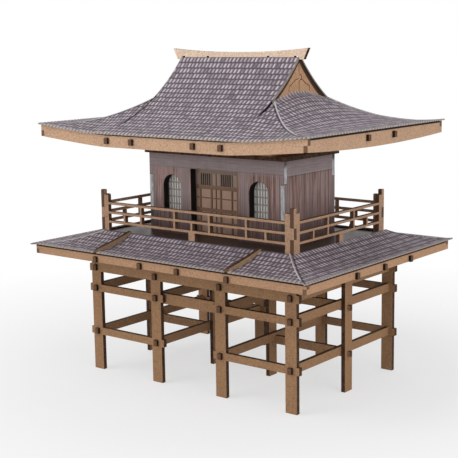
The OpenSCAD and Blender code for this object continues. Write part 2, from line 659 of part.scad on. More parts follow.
fs = 12;
module roof_fascia_fr() {
    xs = concat([for (i = [0 : fs]) -roof_x + (roof_x - verge_x) * i / fs], [for (i = [0 : fs]) verge_x + (roof_x - verge_x) * i / fs]);
    difference() {
        polygon(concat([for (x = xs) [x, fascia_top(x)]], [for (i = [len(xs) - 1 : -1 : 0]) [xs[i], fascia_top(xs[i]) - fascia_h]]));
        for (s = [-1, 1]) box2(s > 0 ? side_face - 0 : -roof_x - 1, side_low - 5, board + 1, joint_z - side_low + 5);
        for (x = [gable_x, truss_x], s = [-1, 1]) slot2(s * x, front_tenon_z, rafter_tenon_h);
    }
}
module roof_fascia_side() {
    yy = [for (i = [0 : fs]) roof_y * (1 - 2 * i / fs)];
    difference() {
        polygon(concat([[-roof_y, side_top], [roof_y, side_top]], [for (y = yy) [y, side_low - fascia_belly * (1 - pow(abs(y) / roof_y, 2))]]));
        for (s = [-1, 1]) box2(s > 0 ? roof_y - board : -roof_y - 1, joint_z, board + 1, fascia_h);
        for (y = [-roof_rafter_y, roof_rafter_y]) slot2(y, side_tenon_z, rafter_tenon_h);
    }
}
module roof_fascia_front() color(board_tan) board_xz(-roof_y, board) roof_fascia_fr();
module roof_fascia_rear() color(board_tan) board_xz(roof_y - board, board) roof_fascia_fr();
module roof_fascia_left() color(board_tan) board_yz(-roof_x, board) roof_fascia_side();
module roof_fascia_right() color(board_tan) board_yz(side_face, board) roof_fascia_side();

module main_slope() board_yz(-verge_x, 2 * verge_x) polygon(concat(
    [for (i = [0 : runs]) [ys(i), top_at(i)]], [for (i = [runs : -1 : 0]) [ys(i), under_at(i)]]));
module main_slope_rear() color(tile_grey) main_slope();
module main_slope_front() color(tile_grey) mirror([0, 1, 0]) main_slope();

// a curved sheet: a grid of points on top, the same grid lower down, and a rim
module sheet(top, low) {
    r = len(top);
    c = len(top[0]);
    pts = concat([for (i = [0 : r - 1], j = [0 : c - 1]) top[i][j]], [for (i = [0 : r - 1], j = [0 : c - 1]) low[i][j]]);
    k = r * c;
    up = [for (i = [0 : r - 2], j = [0 : c - 2]) each [
        [i * c + j, (i + 1) * c + j, (i + 1) * c + j + 1], [i * c + j, (i + 1) * c + j + 1, i * c + j + 1]]];
    dn = [for (f = up) [k + f[0], k + f[2], k + f[1]]];
    rim_a = [for (j = [0 : c - 2]) each [[j, j + 1, k + j + 1], [j, k + j + 1, k + j]]];
    e = (r - 1) * c;
    rim_b = [for (j = [0 : c - 2]) each [[e + j + 1, e + j, k + e + j], [e + j + 1, k + e + j, k + e + j + 1]]];
    rim_c = [for (i = [0 : r - 2]) each [[(i + 1) * c, i * c, k + i * c], [(i + 1) * c, k + i * c, k + (i + 1) * c]]];
    rim_d = [for (i = [0 : r - 2]) each [[i * c + c - 1, (i + 1) * c + c - 1, k + (i + 1) * c + c - 1],
        [i * c + c - 1, k + (i + 1) * c + c - 1, k + i * c + c - 1]]];
    polyhedron(points = pts, faces = concat(up, dn, rim_a, rim_b, rim_c, rim_d));
}
function skirt_xs(i) = concat([for (j = [0 : cells]) -hip_x(i) + (hip_x(i) - verge_x) * j / cells],
    [for (j = [0 : cells]) verge_x + (hip_x(i) - verge_x) * j / cells]);
module skirt_fr() sheet(
    [for (i = [first : runs]) [for (x = skirt_xs(i)) [x, ys(i), skirt_z(x, i)]]],
    [for (i = [first : runs]) [for (x = skirt_xs(i)) [x, ys(i), skirt_z(x, i) - skin_at(i)]]]);
vs = 14;
function side_x(i, j) = i == first && j > 0 && j < vs ? gable_face : hip_x(i);
module skirt_end() sheet(
    [for (i = [first : runs]) [for (j = [0 : vs]) [side_x(i, j), ys(i) * (1 - 2 * j / vs), side_z(i, 1 - 2 * j / vs)]]],
    [for (i = [first : runs]) [for (j = [0 : vs]) [side_x(i, j), ys(i) * (1 - 2 * j / vs), side_z(i, 1 - 2 * j / vs) - skin_at(i)]]]);
module skirt_rear() color(tile_grey) skirt_fr();
module skirt_front() color(tile_grey) mirror([0, 1, 0]) skirt_fr();
module skirt_right() color(tile_grey) skirt_end();
module skirt_left() color(tile_grey) mirror([1, 0, 0]) skirt_end();

ridge_top = zr + ridge_over;
ridge_half = gable_face + ridge_end;
keel_x = gable_x - half - 1.3;
function ridge_z(x) = ridge_top + ridge_sweep * pow(abs(x) / ridge_half, 2.2);
module ridge_board() color(board_tan) board_xz(-half, board) difference() {
    polygon(concat([for (i = [0 : 24]) let (x = -ridge_half + 2 * ridge_half * i / 24) [x, ridge_z(x)]],
        [[gable_face + 4.7, under_at(0)], [keel_x, under_at(0)], [keel_x, under_at(0) - ridge_keel],
         [-keel_x, under_at(0) - ridge_keel], [-keel_x, under_at(0)], [-gable_face - 4.7, under_at(0)]]));
    for (x = [gable_x, truss_x], s = [-1, 1])
        mid2(s * x, under_at(0) - ridge_keel - 1, board, ridge_keel + 1 + 2.4);
}

front_leg_frame();
rear_leg_frame();
top_cross_boards();
middle_cross_rails();
low_cross_rails();
middle_posts();
middle_spine_rail();
low_spine_rails();
gate_lintel_front();
gate_lintel_rear();
deck_board();
low_fascia_front();
low_fascia_rear();
low_fascia_left();
low_fascia_right();
crest_ribs();
short_rafters();
side_rafters();
low_tiles_front_left();
low_tiles_front_middle();
low_tiles_front_right();
low_tiles_rear_left();
low_tiles_rear_middle();
low_tiles_rear_right();
low_tiles_left();
low_tiles_right();
railing_front();
railing_rear();
railing_left();
railing_right();
wall_front();
wall_rear();
wall_left();
wall_right();
door_left();
door_right();
window_lattices();
roof_base_board();
roof_locator();
gable_left();
gable_right();
inner_truss_left();
inner_truss_right();
roof_rafters();
roof_fascia_front();
roof_fascia_rear();
roof_fascia_left();
roof_fascia_right();
main_slope_front();
main_slope_rear();
skirt_front();
skirt_rear();
skirt_left();
skirt_right();
ridge_board();
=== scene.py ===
import math

import bmesh
import bpy
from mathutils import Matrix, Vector


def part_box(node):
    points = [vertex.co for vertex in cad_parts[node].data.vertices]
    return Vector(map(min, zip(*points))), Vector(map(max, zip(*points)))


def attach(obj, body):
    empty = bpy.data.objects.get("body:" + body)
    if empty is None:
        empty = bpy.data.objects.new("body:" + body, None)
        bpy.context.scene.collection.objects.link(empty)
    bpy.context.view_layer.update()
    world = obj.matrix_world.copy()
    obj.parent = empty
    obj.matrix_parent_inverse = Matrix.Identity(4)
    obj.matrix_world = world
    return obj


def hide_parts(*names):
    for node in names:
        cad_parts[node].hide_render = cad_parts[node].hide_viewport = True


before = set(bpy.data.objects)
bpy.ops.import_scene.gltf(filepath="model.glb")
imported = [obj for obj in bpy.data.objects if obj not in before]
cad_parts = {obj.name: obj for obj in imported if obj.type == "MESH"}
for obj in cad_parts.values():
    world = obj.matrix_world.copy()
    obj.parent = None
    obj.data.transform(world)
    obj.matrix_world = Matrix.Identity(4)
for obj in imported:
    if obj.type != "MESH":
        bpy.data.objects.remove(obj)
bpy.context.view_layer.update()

bl_info = {
    "name": "Temple Gate on Stilts",
    "version": (1, 0, 0),
    "blender": (4, 5, 0),
    "location": "View3D > Sidebar > Temple Gate",
    "description": "Tile cards, doors, printed walls and cut board finishes for a tabletop temple gate",
    "category": "Object",
}

MM = 0.001


# ---------- places taken from the cut parts, in millimetres ----------
def low(node, axis):
    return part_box(node)[0][axis] / MM


def high(node, axis):
    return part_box(node)[1][axis] / MM


BOARD = high("ridge_board", 1) - low("ridge_board", 1)
HALF = BOARD / 2
DECK_TOP = high("deck_board", 2)
WALL_TOP = high("wall_front", 2)
WALL_X = high("wall_right", 0)
WALL_Y = high("wall_rear", 1)
RAIL_X = high("railing_right", 0)
RAIL_Y = high("railing_rear", 1)
LOW_FASCIA_X = high("low_fascia_right", 0)
LOW_FASCIA_Y = high("low_fascia_rear", 1)
LOW_X = high("low_tiles_right", 0)
LOW_Y = high("low_tiles_rear_middle", 1)
LOW_TOP = high("low_tiles_rear_middle", 2)
LOW_UNDER = low("low_tiles_rear_middle", 2)
CREST_IN = high("low_tiles_rear_middle", 0)
CREST_OUT = low("low_tiles_rear_right", 0)
FASCIA_X = high("roof_fascia_right", 0)
FASCIA_Y = high("roof_fascia_rear", 1)
GABLE_FACE = high("gable_right", 0)
VERGE_X = high("main_slope_rear", 0)
EAVE_X = high("skirt_right", 0)
EAVE_Y = high("main_slope_rear", 1)
RIDGE_Z = high("main_slope_rear", 2)
EAVE_UNDER = low("main_slope_rear", 2)
SKIRT_IN_Y = low("skirt_rear", 1)
DOOR_BACK = high("door_right", 1)
LEAF = 2.0                                      # thickness of a door leaf
LEAF_FACE = DOOR_BACK - LEAF                    # face of the doors, level with the window bars
LOW_RUN_X = LOW_FASCIA_X - BOARD - RAIL_X       # lower card, from the railing to the inside of a fascia
LOW_RUN_Y = LOW_FASCIA_Y - BOARD - RAIL_Y
HIP_START = VERGE_X + 0.3                       # an upper hip at the gable, just clear of the main slope
SWEEP_Y = SKIRT_IN_Y + 0.48 * (EAVE_Y - SKIRT_IN_Y)     # where the roof's corners begin to sweep up

# ---------- numbers chosen for the shapes and prints, lengths in millimetres ----------
SWEEP_CURVE = 1.25                              # a power: above 1, the sweep comes later along the eave
SQUARE_ON = 0.7                                 # a face points along an axis when its normal is past this
SPECK = 0.24                                    # strength of the speckles in a board's face
TENON_CLEAR = 0.05                              # what stands past a face by this much is a tenon
SLIT_FADE = 7.0                                 # length over which the slit beside a main slope closes
PLANK = 1.65                                    # width of a printed plank
CORNER_POST = 6.5                               # printed posts at the room's corners, from their ends
DOOR_POST = 26.5                                # printed posts beside the doors, from the middle
LONG_BEAM, SIDE_BEAM = 9.0, 10.4                # depth of the printed beam, from the top of a wall
FINGER_FOOT, FINGER_JOINT = 17.0, 41.8          # heights over the deck where the corner fingers change
DECK_PLANK, DECK_LENGTH = 6.2, 64.0             # width and length of the planks printed on the deck


def linear(r, g, b):
    """A colour as seen on a screen, 0 to 255, as Blender's linear colour."""
    def one(v):
        v /= 255
        return v / 12.92 if v <= 0.04045 else ((v + 0.055) / 1.055) ** 2.4
    return one(r), one(g), one(b)


def toned(paint, factor):
    """A colour made darker, below 1, or paler, above 1."""
    return tuple(c * factor for c in paint)


DASH = linear(236, 230, 230)                    # dashes along an eave
LEDGE = linear(206, 194, 186)                   # dashes at the foot of a gable
HIP_SHADOW = linear(44, 34, 42)                 # line beside a hip
VERGE_SHADOW = linear(26, 20, 24)               # line on the main slope's own edge
SLIT_SHADOW = linear(24, 19, 22)                       # painted shadow in the slit beside a main slope
CARD_UNDER = linear(96, 76, 60)
# painted shade: the dark lining under the main slopes shows as a shadowed gap at the eave
SHADED_LINING = linear(58, 44, 34)
HIP_GREY, HIP_WHITE = linear(178, 172, 174), linear(226, 222, 224)
SHADED_INSIDE = linear(9, 7, 6), linear(26, 20, 16)    # painted shade behind the doors and windows
INNER_CUT = linear(10, 7, 6), linear(26, 19, 16)
CORNER_LINE = linear(40, 32, 34)
CORNER_FOOT = linear(56, 43, 38)
DOOR_HEAD = linear(150, 138, 128)
BAR_GREY, BAR_WHITE = linear(140, 134, 130), linear(192, 186, 182)
DECK_UNDER = linear(92, 70, 54), linear(126, 98, 76)
DECK_CUT = linear(44, 30, 20), linear(84, 62, 46)
RAFTER = linear(163, 134, 106)
GROOVE = linear(96, 56, 32)                     # engraved lines of the gables
WHITE = (1.0, 1.0, 1.0)


# ---------- sizes and colours a maker may change ----------
def length(name, description, default):
    return bpy.props.FloatProperty(name=name, description=description, default=default * MM, min=0.0,
                                   unit="LENGTH", subtype="DISTANCE", precision=5)


def colour(name, description, r, g, b):
    return bpy.props.FloatVectorProperty(name=name, description=description, default=linear(r, g, b),
                                         size=3, min=0.0, max=1.0, subtype="COLOR")


class BoardSettings(bpy.types.PropertyGroup):
    # the face colours are one fibreboard, partly in its own tones and partly with painted light: the stilt
    # boards are painted darker, for the shade under the roofs, and the ridge board paler, for the light at
    # the top
    post: colour("Post board", "Face of the stilt boards", 155, 119, 87)
    fascia: colour("Upper fascia", "Face of the upper fascia boards", 196, 160, 131)
    low_fascia: colour("Lower fascia", "Face of the lower fascia boards", 174, 136, 106)
    railing: colour("Railing board", "Face of the railing boards", 175, 140, 114)
    gable: colour("Gable board", "Face of the gable boards", 190, 149, 115)
    ridge: colour("Ridge board", "Face of the ridge board", 232, 205, 181)
    hidden: colour("Inner board", "Face of the trusses, rafters and base boards", 150, 117, 90)
    cut: colour("Burnt cut", "Laser cut edge of the boards", 92, 66, 49)
    scorched: colour("Scorched cut", "Paler cut edge of the fascias and railings", 122, 93, 74)
    soot: colour("Soot", "Darkest part of a cut edge", 34, 20, 12)


class TileSettings(bpy.types.PropertyGroup):
    row: length("Tile row", "Length of a printed tile down the slope", 5.2)
    column: length("Tile width", "Width of a printed tile along the eave", 3.3)
    card: length("Card", "Thickness of the tile card", 1.0)
    slope_radius: length("Slope radius", "Radius of the curve of the main slopes", 145.0)
    eave_sweep: length("Corner sweep", "Sweep of the card up to the roof corners", 5.6)
    bump: length("Skirt rise", "Rise of the side skirts against the gable", 5.5)
    slit: length("Left slit", "Where the slit left of a main slope ends, from the middle", 69.0)
    short_slit: length("Right slit", "Where the slit right of a main slope ends, from the middle", 52.0)
    hip_bend: length("Hip bend", "How far the upper hips bow towards the front and rear", 4.0)
    low_hip_shift: length("Lower hip shift", "How far the lower hips stand inside the corners", 2.9)
    base: colour("Tile", "Printed tile", 124, 113, 121)
    pale: colour("Tile shine", "Printed highlight on a tile", 207, 196, 203)
    joint: colour("Tile joint", "Printed line between tiles", 74, 61, 72)
    edge: colour("Card edge", "Cut edge of the card", 166, 154, 147)


class RoomSettings(bpy.types.PropertyGroup):
    plank: colour("Plank", "Printed planks", 170, 144, 137)
    red: colour("Red plank", "Warmer planks", 192, 146, 133)
    frieze: colour("Frieze", "Printed beam under the roof", 164, 149, 150)
    dark: colour("Plank line", "Lines between planks", 84, 64, 63)
    corner: colour("Corner edge", "Bare cut edge at the corners", 206, 208, 212)
    door: colour("Door panel", "Door panels", 196, 162, 142)
    door_frame: colour("Door frame", "Frame of the doors", 136, 105, 85)
    pane: colour("Window paper", "Paper behind the window bars", 250, 247, 242)
    deck: colour("Deck", "Printed deck", 98, 78, 66)


class StageSettings(bpy.types.PropertyGroup):
    floor: colour("Floor", "Plain floor", 240, 240, 240)
    key: bpy.props.FloatProperty(name="Key lamp", description="Power of the high lamp at the left",
                                 default=7.0, min=0.0, unit="POWER")
    front: bpy.props.FloatProperty(name="Front lamp", description="Power of the low lamp in front",
                                   default=5.0, min=0.0, unit="POWER")
    side: bpy.props.FloatProperty(name="Side lamp", description="Power of the lamp on the right", default=5.5,
                                  min=0.0, unit="POWER")
    world: bpy.props.FloatProperty(name="Sky", description="Strength of the plain sky", default=0.6, min=0.0)


# ---------- shader values ----------
class Value:
    """Wraps a socket, so that shader maths can be written as an expression."""

    def __init__(self, look, socket):
        self.look, self.socket = look, socket

    def math(self, operation, *others, clamp=False):
        return self.look.maths(operation, self, *others, clamp=clamp)

    def __add__(self, other):
        return self.math("ADD", other)

    __radd__ = __add__

    def __sub__(self, other):
        return self.math("SUBTRACT", other)

    def __rsub__(self, other):
        return self.look.maths("SUBTRACT", other, self)

    def __mul__(self, other):
        return self.math("MULTIPLY", other)

    __rmul__ = __mul__

    def __truediv__(self, other):
        return self.math("DIVIDE", other)

    def __rtruediv__(self, other):
        return self.look.maths("DIVIDE", other, self)

    def __pow__(self, other):
        return self.math("POWER", other)

    def __gt__(self, other):
        return self.math("GREATER_THAN", other)

    def __lt__(self, other):
        return self.math("LESS_THAN", other)

    def __abs__(self):
        return self.math("ABSOLUTE")

    def floor(self):
        return self.math("FLOOR")

    def fract(self):
        return self.math("FRACT")

    def most(self, other):
        return self.math("MAXIMUM", other)

    def limit(self):
        return self.math("ADD", 0.0, clamp=True)

    def ramp(self, start, end):
        """0 at start, 1 at end, and straight between."""
        return ((self - start) * (1 / (end - start))).limit()

    def line(self, middle, width):
        """1 near the middle, fading to 0 at 0.7 of the width on each side."""
        return 1 - (abs(self - middle) - width * 0.35).ramp(0, width * 0.35)


class Look:
    """The nodes of a material, or of the sky when that is given as the owner."""

    def __init__(self, name, owner=None):
        self.owner = owner or bpy.data.materials.new(name)
        self.owner.use_nodes = True
        self.tree = self.owner.node_tree
        self.tree.nodes.clear()

    def node(self, kind, settings=None, inputs=None):
        """Makes a node: its settings first, then the values or links of its sockets."""
        node = self.tree.nodes.new(kind)
        for key, value in (settings or {}).items():
            setattr(node, key, value)
        for key, value in (inputs or {}).items():
            if isinstance(value, Value):
                self.tree.links.new(value.socket, node.inputs[key])
            elif value is not None:
                if isinstance(value, tuple) and len(value) == 3 and len(node.inputs[key].default_value) == 4:
                    value = (*value, 1.0)
                node.inputs[key].default_value = value
        return node

    def add(self, kind, settings=None, inputs=None, out=0):
        return Value(self, self.node(kind, settings, inputs).outputs[out])

    def maths(self, operation, *values, clamp=False):
        return self.add("ShaderNodeMath", {"operation": operation, "use_clamp": clamp},
                        dict(enumerate(values)))

    def mix(self, factor, a, b, blend="MIX"):
        return self.add("ShaderNodeMix", {"data_type": "RGBA", "blend_type": blend, "clamp_factor": True},
                        {0: factor, 6: a, 7: b}, out=2)

    def place(self):
        """Object coordinates in millimetres."""
        at = self.add("ShaderNodeTexCoord", out="Object")
        return self.scaled(at, (1 / MM, 1 / MM, 1 / MM))

    def surface(self):
        """The piece's own map: along the eave and up from the eave, in millimetres."""
        at = self.add("ShaderNodeTexCoord", out="UV")
        return self.scaled(at, (1 / MM, 1 / MM, 1.0))

    def scaled(self, vector, factors):
        return self.add("ShaderNodeVectorMath", {"operation": "MULTIPLY"}, {0: vector, 1: factors})

    def split(self, vector):
        node = self.node("ShaderNodeSeparateXYZ", inputs={0: vector})
        return [Value(self, node.outputs[i]) for i in range(3)]

    def join(self, x, y, z=0.0):
        return self.add("ShaderNodeCombineXYZ", inputs={0: x, 1: y, 2: z})

    def facing(self):
        return self.split(self.add("ShaderNodeTexCoord", out="Normal"))

    def noise(self, vector, scale, detail=2.0, roughness=0.5):
        return self.add("ShaderNodeTexNoise", {"noise_dimensions": "3D"},
                        {"Vector": vector, "Scale": scale, "Detail": detail, "Roughness": roughness})

    def chance(self, vector):
        """One even random number for each whole place."""
        return self.add("ShaderNodeTexWhiteNoise", {"noise_dimensions": "3D"}, {"Vector": vector})

    def seen(self):
        """1 for the camera's own rays and for reflections, 0 for the light that falls on things."""
        straight = self.add("ShaderNodeLightPath", out="Is Camera Ray")
        return straight.most(self.add("ShaderNodeLightPath", out="Is Glossy Ray"))

    def finish(self, base, roughness=0.8, height=None, depth=0.0001, specular=0.25):
        normal = None
        if height is not None:
            normal = self.add("ShaderNodeBump", inputs={"Strength": 1.0, "Distance": depth, "Height": height})
        shader = self.add("ShaderNodeBsdfPrincipled", inputs={
            "Base Color": base, "Roughness": roughness, "Normal": normal, "Specular IOR Level": specular})
        return self.close(shader)

    def close(self, shader, output="ShaderNodeOutputMaterial"):
        """Links the finished shader to the output, and gives back the material or sky."""
        self.node(output, inputs={"Surface": shader})
        return self.owner


# ---------- finishes ----------
def board_look(name, across, face, cut, soot, tips=(), extra=None):
    """Fibreboard: speckled faces across one axis, burnt cuts on all other faces.
    tips lists (axis, distance): beyond it a tenon stands out, with sooty sides and a paler end.
    extra(look, place, tan) adds a mark to the faces."""
    look = Look(name)
    at = look.place()
    facing = look.facing()
    place = look.split(at)
    on_face = abs(facing[across]) > SQUARE_ON
    fine = look.noise(at, 0.95, 3.0, 0.7).ramp(0.3, 0.7)
    cloud = look.noise(at, 0.09, 2.0)
    tone = (fine - 0.5) * (2 * SPECK) + (cloud - 0.5) * 0.16 + 1.02
    dots = look.noise(at, 0.7, 1.0).ramp(0.58, 0.7) * 0.3
    tan = look.mix(1.0, face, look.join(tone, tone, tone), "MULTIPLY")
    tan = look.mix(dots, tan, cut)
    char = look.noise(look.scaled(at, (0.35, 0.35, 0.35)), 1.0, 3.0, 0.6).ramp(0.3, 0.7)
    burnt = look.mix(char, soot, cut)
    if extra:
        tan = extra(look, place, tan)
    for axis, distance in tips:
        beyond = abs(place[axis]) > distance
        tan = look.mix(beyond, tan, soot)
        end = beyond * (abs(facing[axis]) > SQUARE_ON)
        burnt = look.mix(end, burnt, look.mix(char, cut, toned(cut, 1.5)))
    return look.finish(look.mix(on_face, burnt, tan), 0.82, fine * on_face, 0.00008)


def tile_pattern(look, settings, along, up):
    """Printed roof tiles: rows of worn pale tiles between dark joints, every other row set over by half."""
    row_size, column_size = settings.row / MM, settings.column / MM
    wobble = look.noise(look.join(along * 0.45, up * 0.08, 8.0), 1.0, 2.0) - 0.5
    rows = (up + wobble * 1.3) / row_size
    row, in_row = rows.floor(), rows.fract()
    shift = (row * 0.5).fract() + look.chance(look.join(row, 3.7, 1.1)) * 0.3
    columns = along / column_size + shift
    column, in_column = columns.floor(), columns.fract()
    luck = look.chance(look.join(column, row, 0.5))
    second = look.chance(look.join(column, row, 7.5))
    fibre = look.noise(look.join(along * 2.4, up * 0.5, 0.0), 1.0, 2.0)
    cloud = look.noise(look.join(along * 0.06, up * 0.09, 2.0), 1.0, 2.0)
    worn = look.noise(look.join(along * 0.55, up * 0.4, 5.0), 1.0, 2.0, 0.6)
    tile = look.mix((luck * 0.7 + fibre * 0.3).limit(), toned(settings.base, 0.72),
                    toned(settings.base, 1.2))
    shine = in_column.line(0.45 - second * 0.12, 0.42) * in_row.line(0.5, 0.62)
    strength = (luck * 0.95 + second * 0.4 + fibre * 0.7 + worn * 1.1 - 0.8).limit()
    tile = look.mix(shine * strength, tile, tuple(settings.pale))
    side = in_column.line(0.0, 0.21).most(in_column.line(1.0, 0.17))
    sill = in_row.line(0.0, 0.2).most(in_row.line(1.0, 0.14))
    joint = (side * (second * 0.35 + 0.55)).most(sill * (worn * 1.2 + 0.2)).limit()
    tile = look.mix(joint, tile, tuple(settings.joint))
    return look.mix((cloud - 0.5) * 0.45, tile, tuple(settings.joint)), in_column, in_row


def hip_distance(place, curve=None, shift=0.0):
    """Distance in plan outside the hip, along X: below zero on the front and rear cards."""
    x, y = abs(place[0]), abs(place[1])
    if curve:
        t = (y - SKIRT_IN_Y) / (EAVE_Y - SKIRT_IN_Y)
        bow = (t.limit() * math.pi).math("SINE") * curve.bend
        return x - (t * (EAVE_X - HIP_START) + HIP_START - bow)
    return x - ((y - RAIL_Y) * (LOW_RUN_X / LOW_RUN_Y) + (RAIL_X - shift))


def eave_dash(settings, along):
    """Pale dashes printed along an eave, one to a tile."""
    return (along / (settings.column / MM)).fract().line(0.5, 0.4)


def along_slit(settings, place, fade):
    """1 up to where the slit beside a main slope ends, which is further down on the left of the roof."""
    left, right = settings.slit / MM, settings.short_slit / MM
    reach = (place[0] > 0.0) * (right - left) + left
    return (reach - abs(place[1])).ramp(0, fade)


def tile_look(name, settings, slope=False, wing=False, ledge=False, hip=None, shine=0.85):
    """Printed tile card. slope is set for the main slopes, wing for the corners beside them and ledge for
    the skirts under the gables. hip(place) gives the distance outside a hip. shine is the strength of the
    dashes along the eave."""
    look = Look(name)
    along, up = look.split(look.surface())[:2]
    place = look.split(look.place())
    body, in_column, in_row = tile_pattern(look, settings, along, up)
    dash = eave_dash(settings, along)
    body = look.mix((1 - up.ramp(0.6, 1.5)) * 0.55, body, tuple(settings.edge))
    rim = up.line(1.0, 1.5)
    body = look.mix((1 - dash) * rim * 0.45, body, tuple(settings.joint))
    body = look.mix(dash * rim * shine, body, DASH)
    if slope:
        worn = abs(place[0]).ramp(VERGE_X - 1.3, VERGE_X - 0.5) * (44 - abs(place[1])).ramp(0, 6)
        body = look.mix(worn * 0.45, body, tuple(settings.edge))
        below = abs(place[1]).ramp(SKIRT_IN_Y - 2, SKIRT_IN_Y) * along_slit(settings, place, 4)
        line = (abs(place[0]) + (place[0] < 0.0) * 0.9).ramp(VERGE_X - 0.6, VERGE_X - 0.35)
        body = look.mix(line * below, body, VERGE_SHADOW)
    if ledge:
        near = 1 - abs(place[0]).ramp(GABLE_FACE + 0.9, GABLE_FACE + 1.9)
        body = look.mix(near * dash * 0.8, body, LEDGE)
    if wing:
        # painted shadow in the slit beside the main slope
        beside = abs(place[0]) < VERGE_X + 0.65
        body = look.mix(beside * along_slit(settings, place, SLIT_FADE), body, SLIT_SHADOW)
    if hip:
        body = look.mix(hip(place).line(0.0, 1.5) * 0.8, body, HIP_SHADOW)
    height = in_row * 0.7 + (1 - in_column.line(0.0, 0.2))
    return look.finish(body, 0.72, height, 0.00012, 0.3)


def card_edge_look(name, settings, slope=False, shine=0.36):
    """Cut edge of the tile card, with the ends of the eave's dashes. slope is set for the main slopes,
    whose edges are painted dark beside the slit, as shadow in it."""
    look = Look(name)
    at = look.place()
    grain = look.noise(look.scaled(at, (1.0, 1.0, 3.0)), 0.9, 3.0)
    body = look.mix(grain.ramp(0.35, 0.65), tuple(settings.edge), toned(settings.edge, 0.5))
    along, up = look.split(look.surface())[:2]
    body = look.mix(eave_dash(settings, along) * (1 - up.ramp(0.5, 1.5)) * shine, body, DASH)
    if slope:
        place = look.split(at)
        # painted shadow in the slit, on the main slope's cut edge
        beside = (abs(place[0]) > VERGE_X - 0.2) * (abs(place[1]) > SKIRT_IN_Y + 1)
        body = look.mix(beside * along_slit(settings, place, SLIT_FADE), body, SLIT_SHADOW)
    return look.finish(body, 0.85)


def underside_look(name, face):
    look = Look(name)
    at = look.place()
    fine = look.noise(at, 1.1, 3.0)
    return look.finish(look.mix(fine, toned(face, 0.75), toned(face, 1.1)), 0.85)


def plank_look(name, settings, across, half_length):
    """Printed upright planks with a beam under the roof, bare edges at the corners and black cuts inside.
    across is the axis through the wall: 1 for the front and rear, 0 for the sides."""
    look = Look(name)
    at = look.place()
    place = look.split(at)
    facing = look.facing()
    side = across == 0
    along, up = place[1 - across], place[2] - DECK_TOP
    room_height = WALL_TOP - DECK_TOP
    dark, frieze = tuple(settings.dark), tuple(settings.frieze)
    on_face = abs(facing[across]) > SQUARE_ON
    planks = along / PLANK
    luck = look.chance(look.join(planks.floor(), 1.0, across + 0.5))
    strand = look.noise(look.join(along * 1.9, up * 0.05, 0.0), 1.0, 3.0, 0.65)
    stripe = look.noise(look.join(along * 0.16, up * 0.02, 4.0), 1.0, 2.0)
    broad = look.noise(look.join(along * 0.42, up * 0.015, across + 12.0), 1.0, 2.0)
    cloud = look.noise(look.scaled(at, (0.05, 0.05, 0.04)), 1.0, 2.0)
    warmth = (stripe.ramp(0.4, 0.6) * 0.6 + luck * 0.35).limit()
    body = look.mix(warmth, tuple(settings.plank), tuple(settings.red))
    body = look.mix(strand.ramp(0.52, 0.6) * 0.7, body, toned(frieze, 1.25))
    body = look.mix((1 - strand.ramp(0.38, 0.46)) * 0.85, body, dark)
    body = look.mix((1 - broad.ramp(0.4, 0.52)) * 0.6, body, dark)
    body = look.mix(broad.ramp(0.54, 0.64) * 0.5, body, toned(frieze, 1.2))
    body = look.mix((planks.fract().line(0.0, 0.3) * (luck * 0.8 + 0.3)).limit(), body, dark)
    # painted shade: the foot of the wall is darker, behind the railing
    foot, foot_shade = (1 - up.ramp(2, 30)) * 0.8, toned(dark, 0.6)
    body = look.mix(foot, body, foot_shade)
    body = look.mix((cloud - 0.45) * 0.7, body, dark)
    # greyer posts: at the corners, in the middle of a side, beside the doors in front
    grain = look.noise(look.join(along * 1.4, up * 0.06, 9.0), 1.0, 3.0)
    grey = look.mix(grain, toned(frieze, 0.6), toned(frieze, 0.95))
    post = abs(along).ramp(half_length - CORNER_POST, half_length - CORNER_POST + 3)
    post = post.most(along.line(0.0, 3.2) if side else abs(along).line(DOOR_POST, 5.0))
    body = look.mix(post * 0.65, body, look.mix(foot, grey, foot_shade))
    # painted shade: the side walls are a little darker all over
    if side:
        body = look.mix(0.16, body, dark)
    # beam under the roof, with fine streaks along it
    streak = look.noise(look.join(along * 0.09, up * 1.7, 6.0), 1.0, 3.0, 0.65)
    beam = look.mix(streak.ramp(0.3, 0.7), toned(frieze, 0.72), toned(frieze, 1.06))
    start = room_height - (SIDE_BEAM if side else LONG_BEAM)
    body = look.mix(up.ramp(start - (0.6 if side else 3.0), start + 0.6) * 0.9, body, beam)
    body = look.mix(up.line(start - 0.5, 0.7) * (0.4 if side else 0.2), body, dark)
    if side:
        body = look.mix(up.line(start + 0.5, 0.6) * 0.15, body, tuple(settings.corner))
    body = look.mix(up.line(start + 5.2, 0.5) * 0.2, body, dark)
    # painted shadow of the eave along the top of the wall
    body = look.mix(up.ramp(room_height - 4, room_height) * 0.45, body, dark)
    # the butt joints at the corners: bare pale edges with a dark line beside them
    scuff = look.noise(look.scaled(at, (1.0, 1.0, 0.35)), 0.5, 3.0)
    bare = look.mix(scuff.ramp(0.42, 0.66) * 0.7, tuple(settings.corner), toned(frieze, 0.75))
    gap_and_shadow = abs(along).line(half_length - BOARD + 0.1, 0.7)
    # above 52 mm the bare edges are darker too, painted shadow under the roof
    gap_and_shadow = gap_and_shadow.most(up.line(FINGER_JOINT, 0.9)).most(up.ramp(52, 55))
    bare = look.mix(gap_and_shadow * 0.85, bare, CORNER_LINE)
    bare = look.mix((1 - up.ramp(FINGER_FOOT - 0.5, FINGER_FOOT + 0.5)) * 0.9, bare, CORNER_FOOT)
    inner = look.mix(look.noise(at, 0.3), *INNER_CUT)
    cuts = look.mix(abs(along) > half_length - BOARD - 0.3, inner, bare)
    return look.finish(look.mix(on_face, cuts, body), 0.7, strand * on_face, 0.00006)


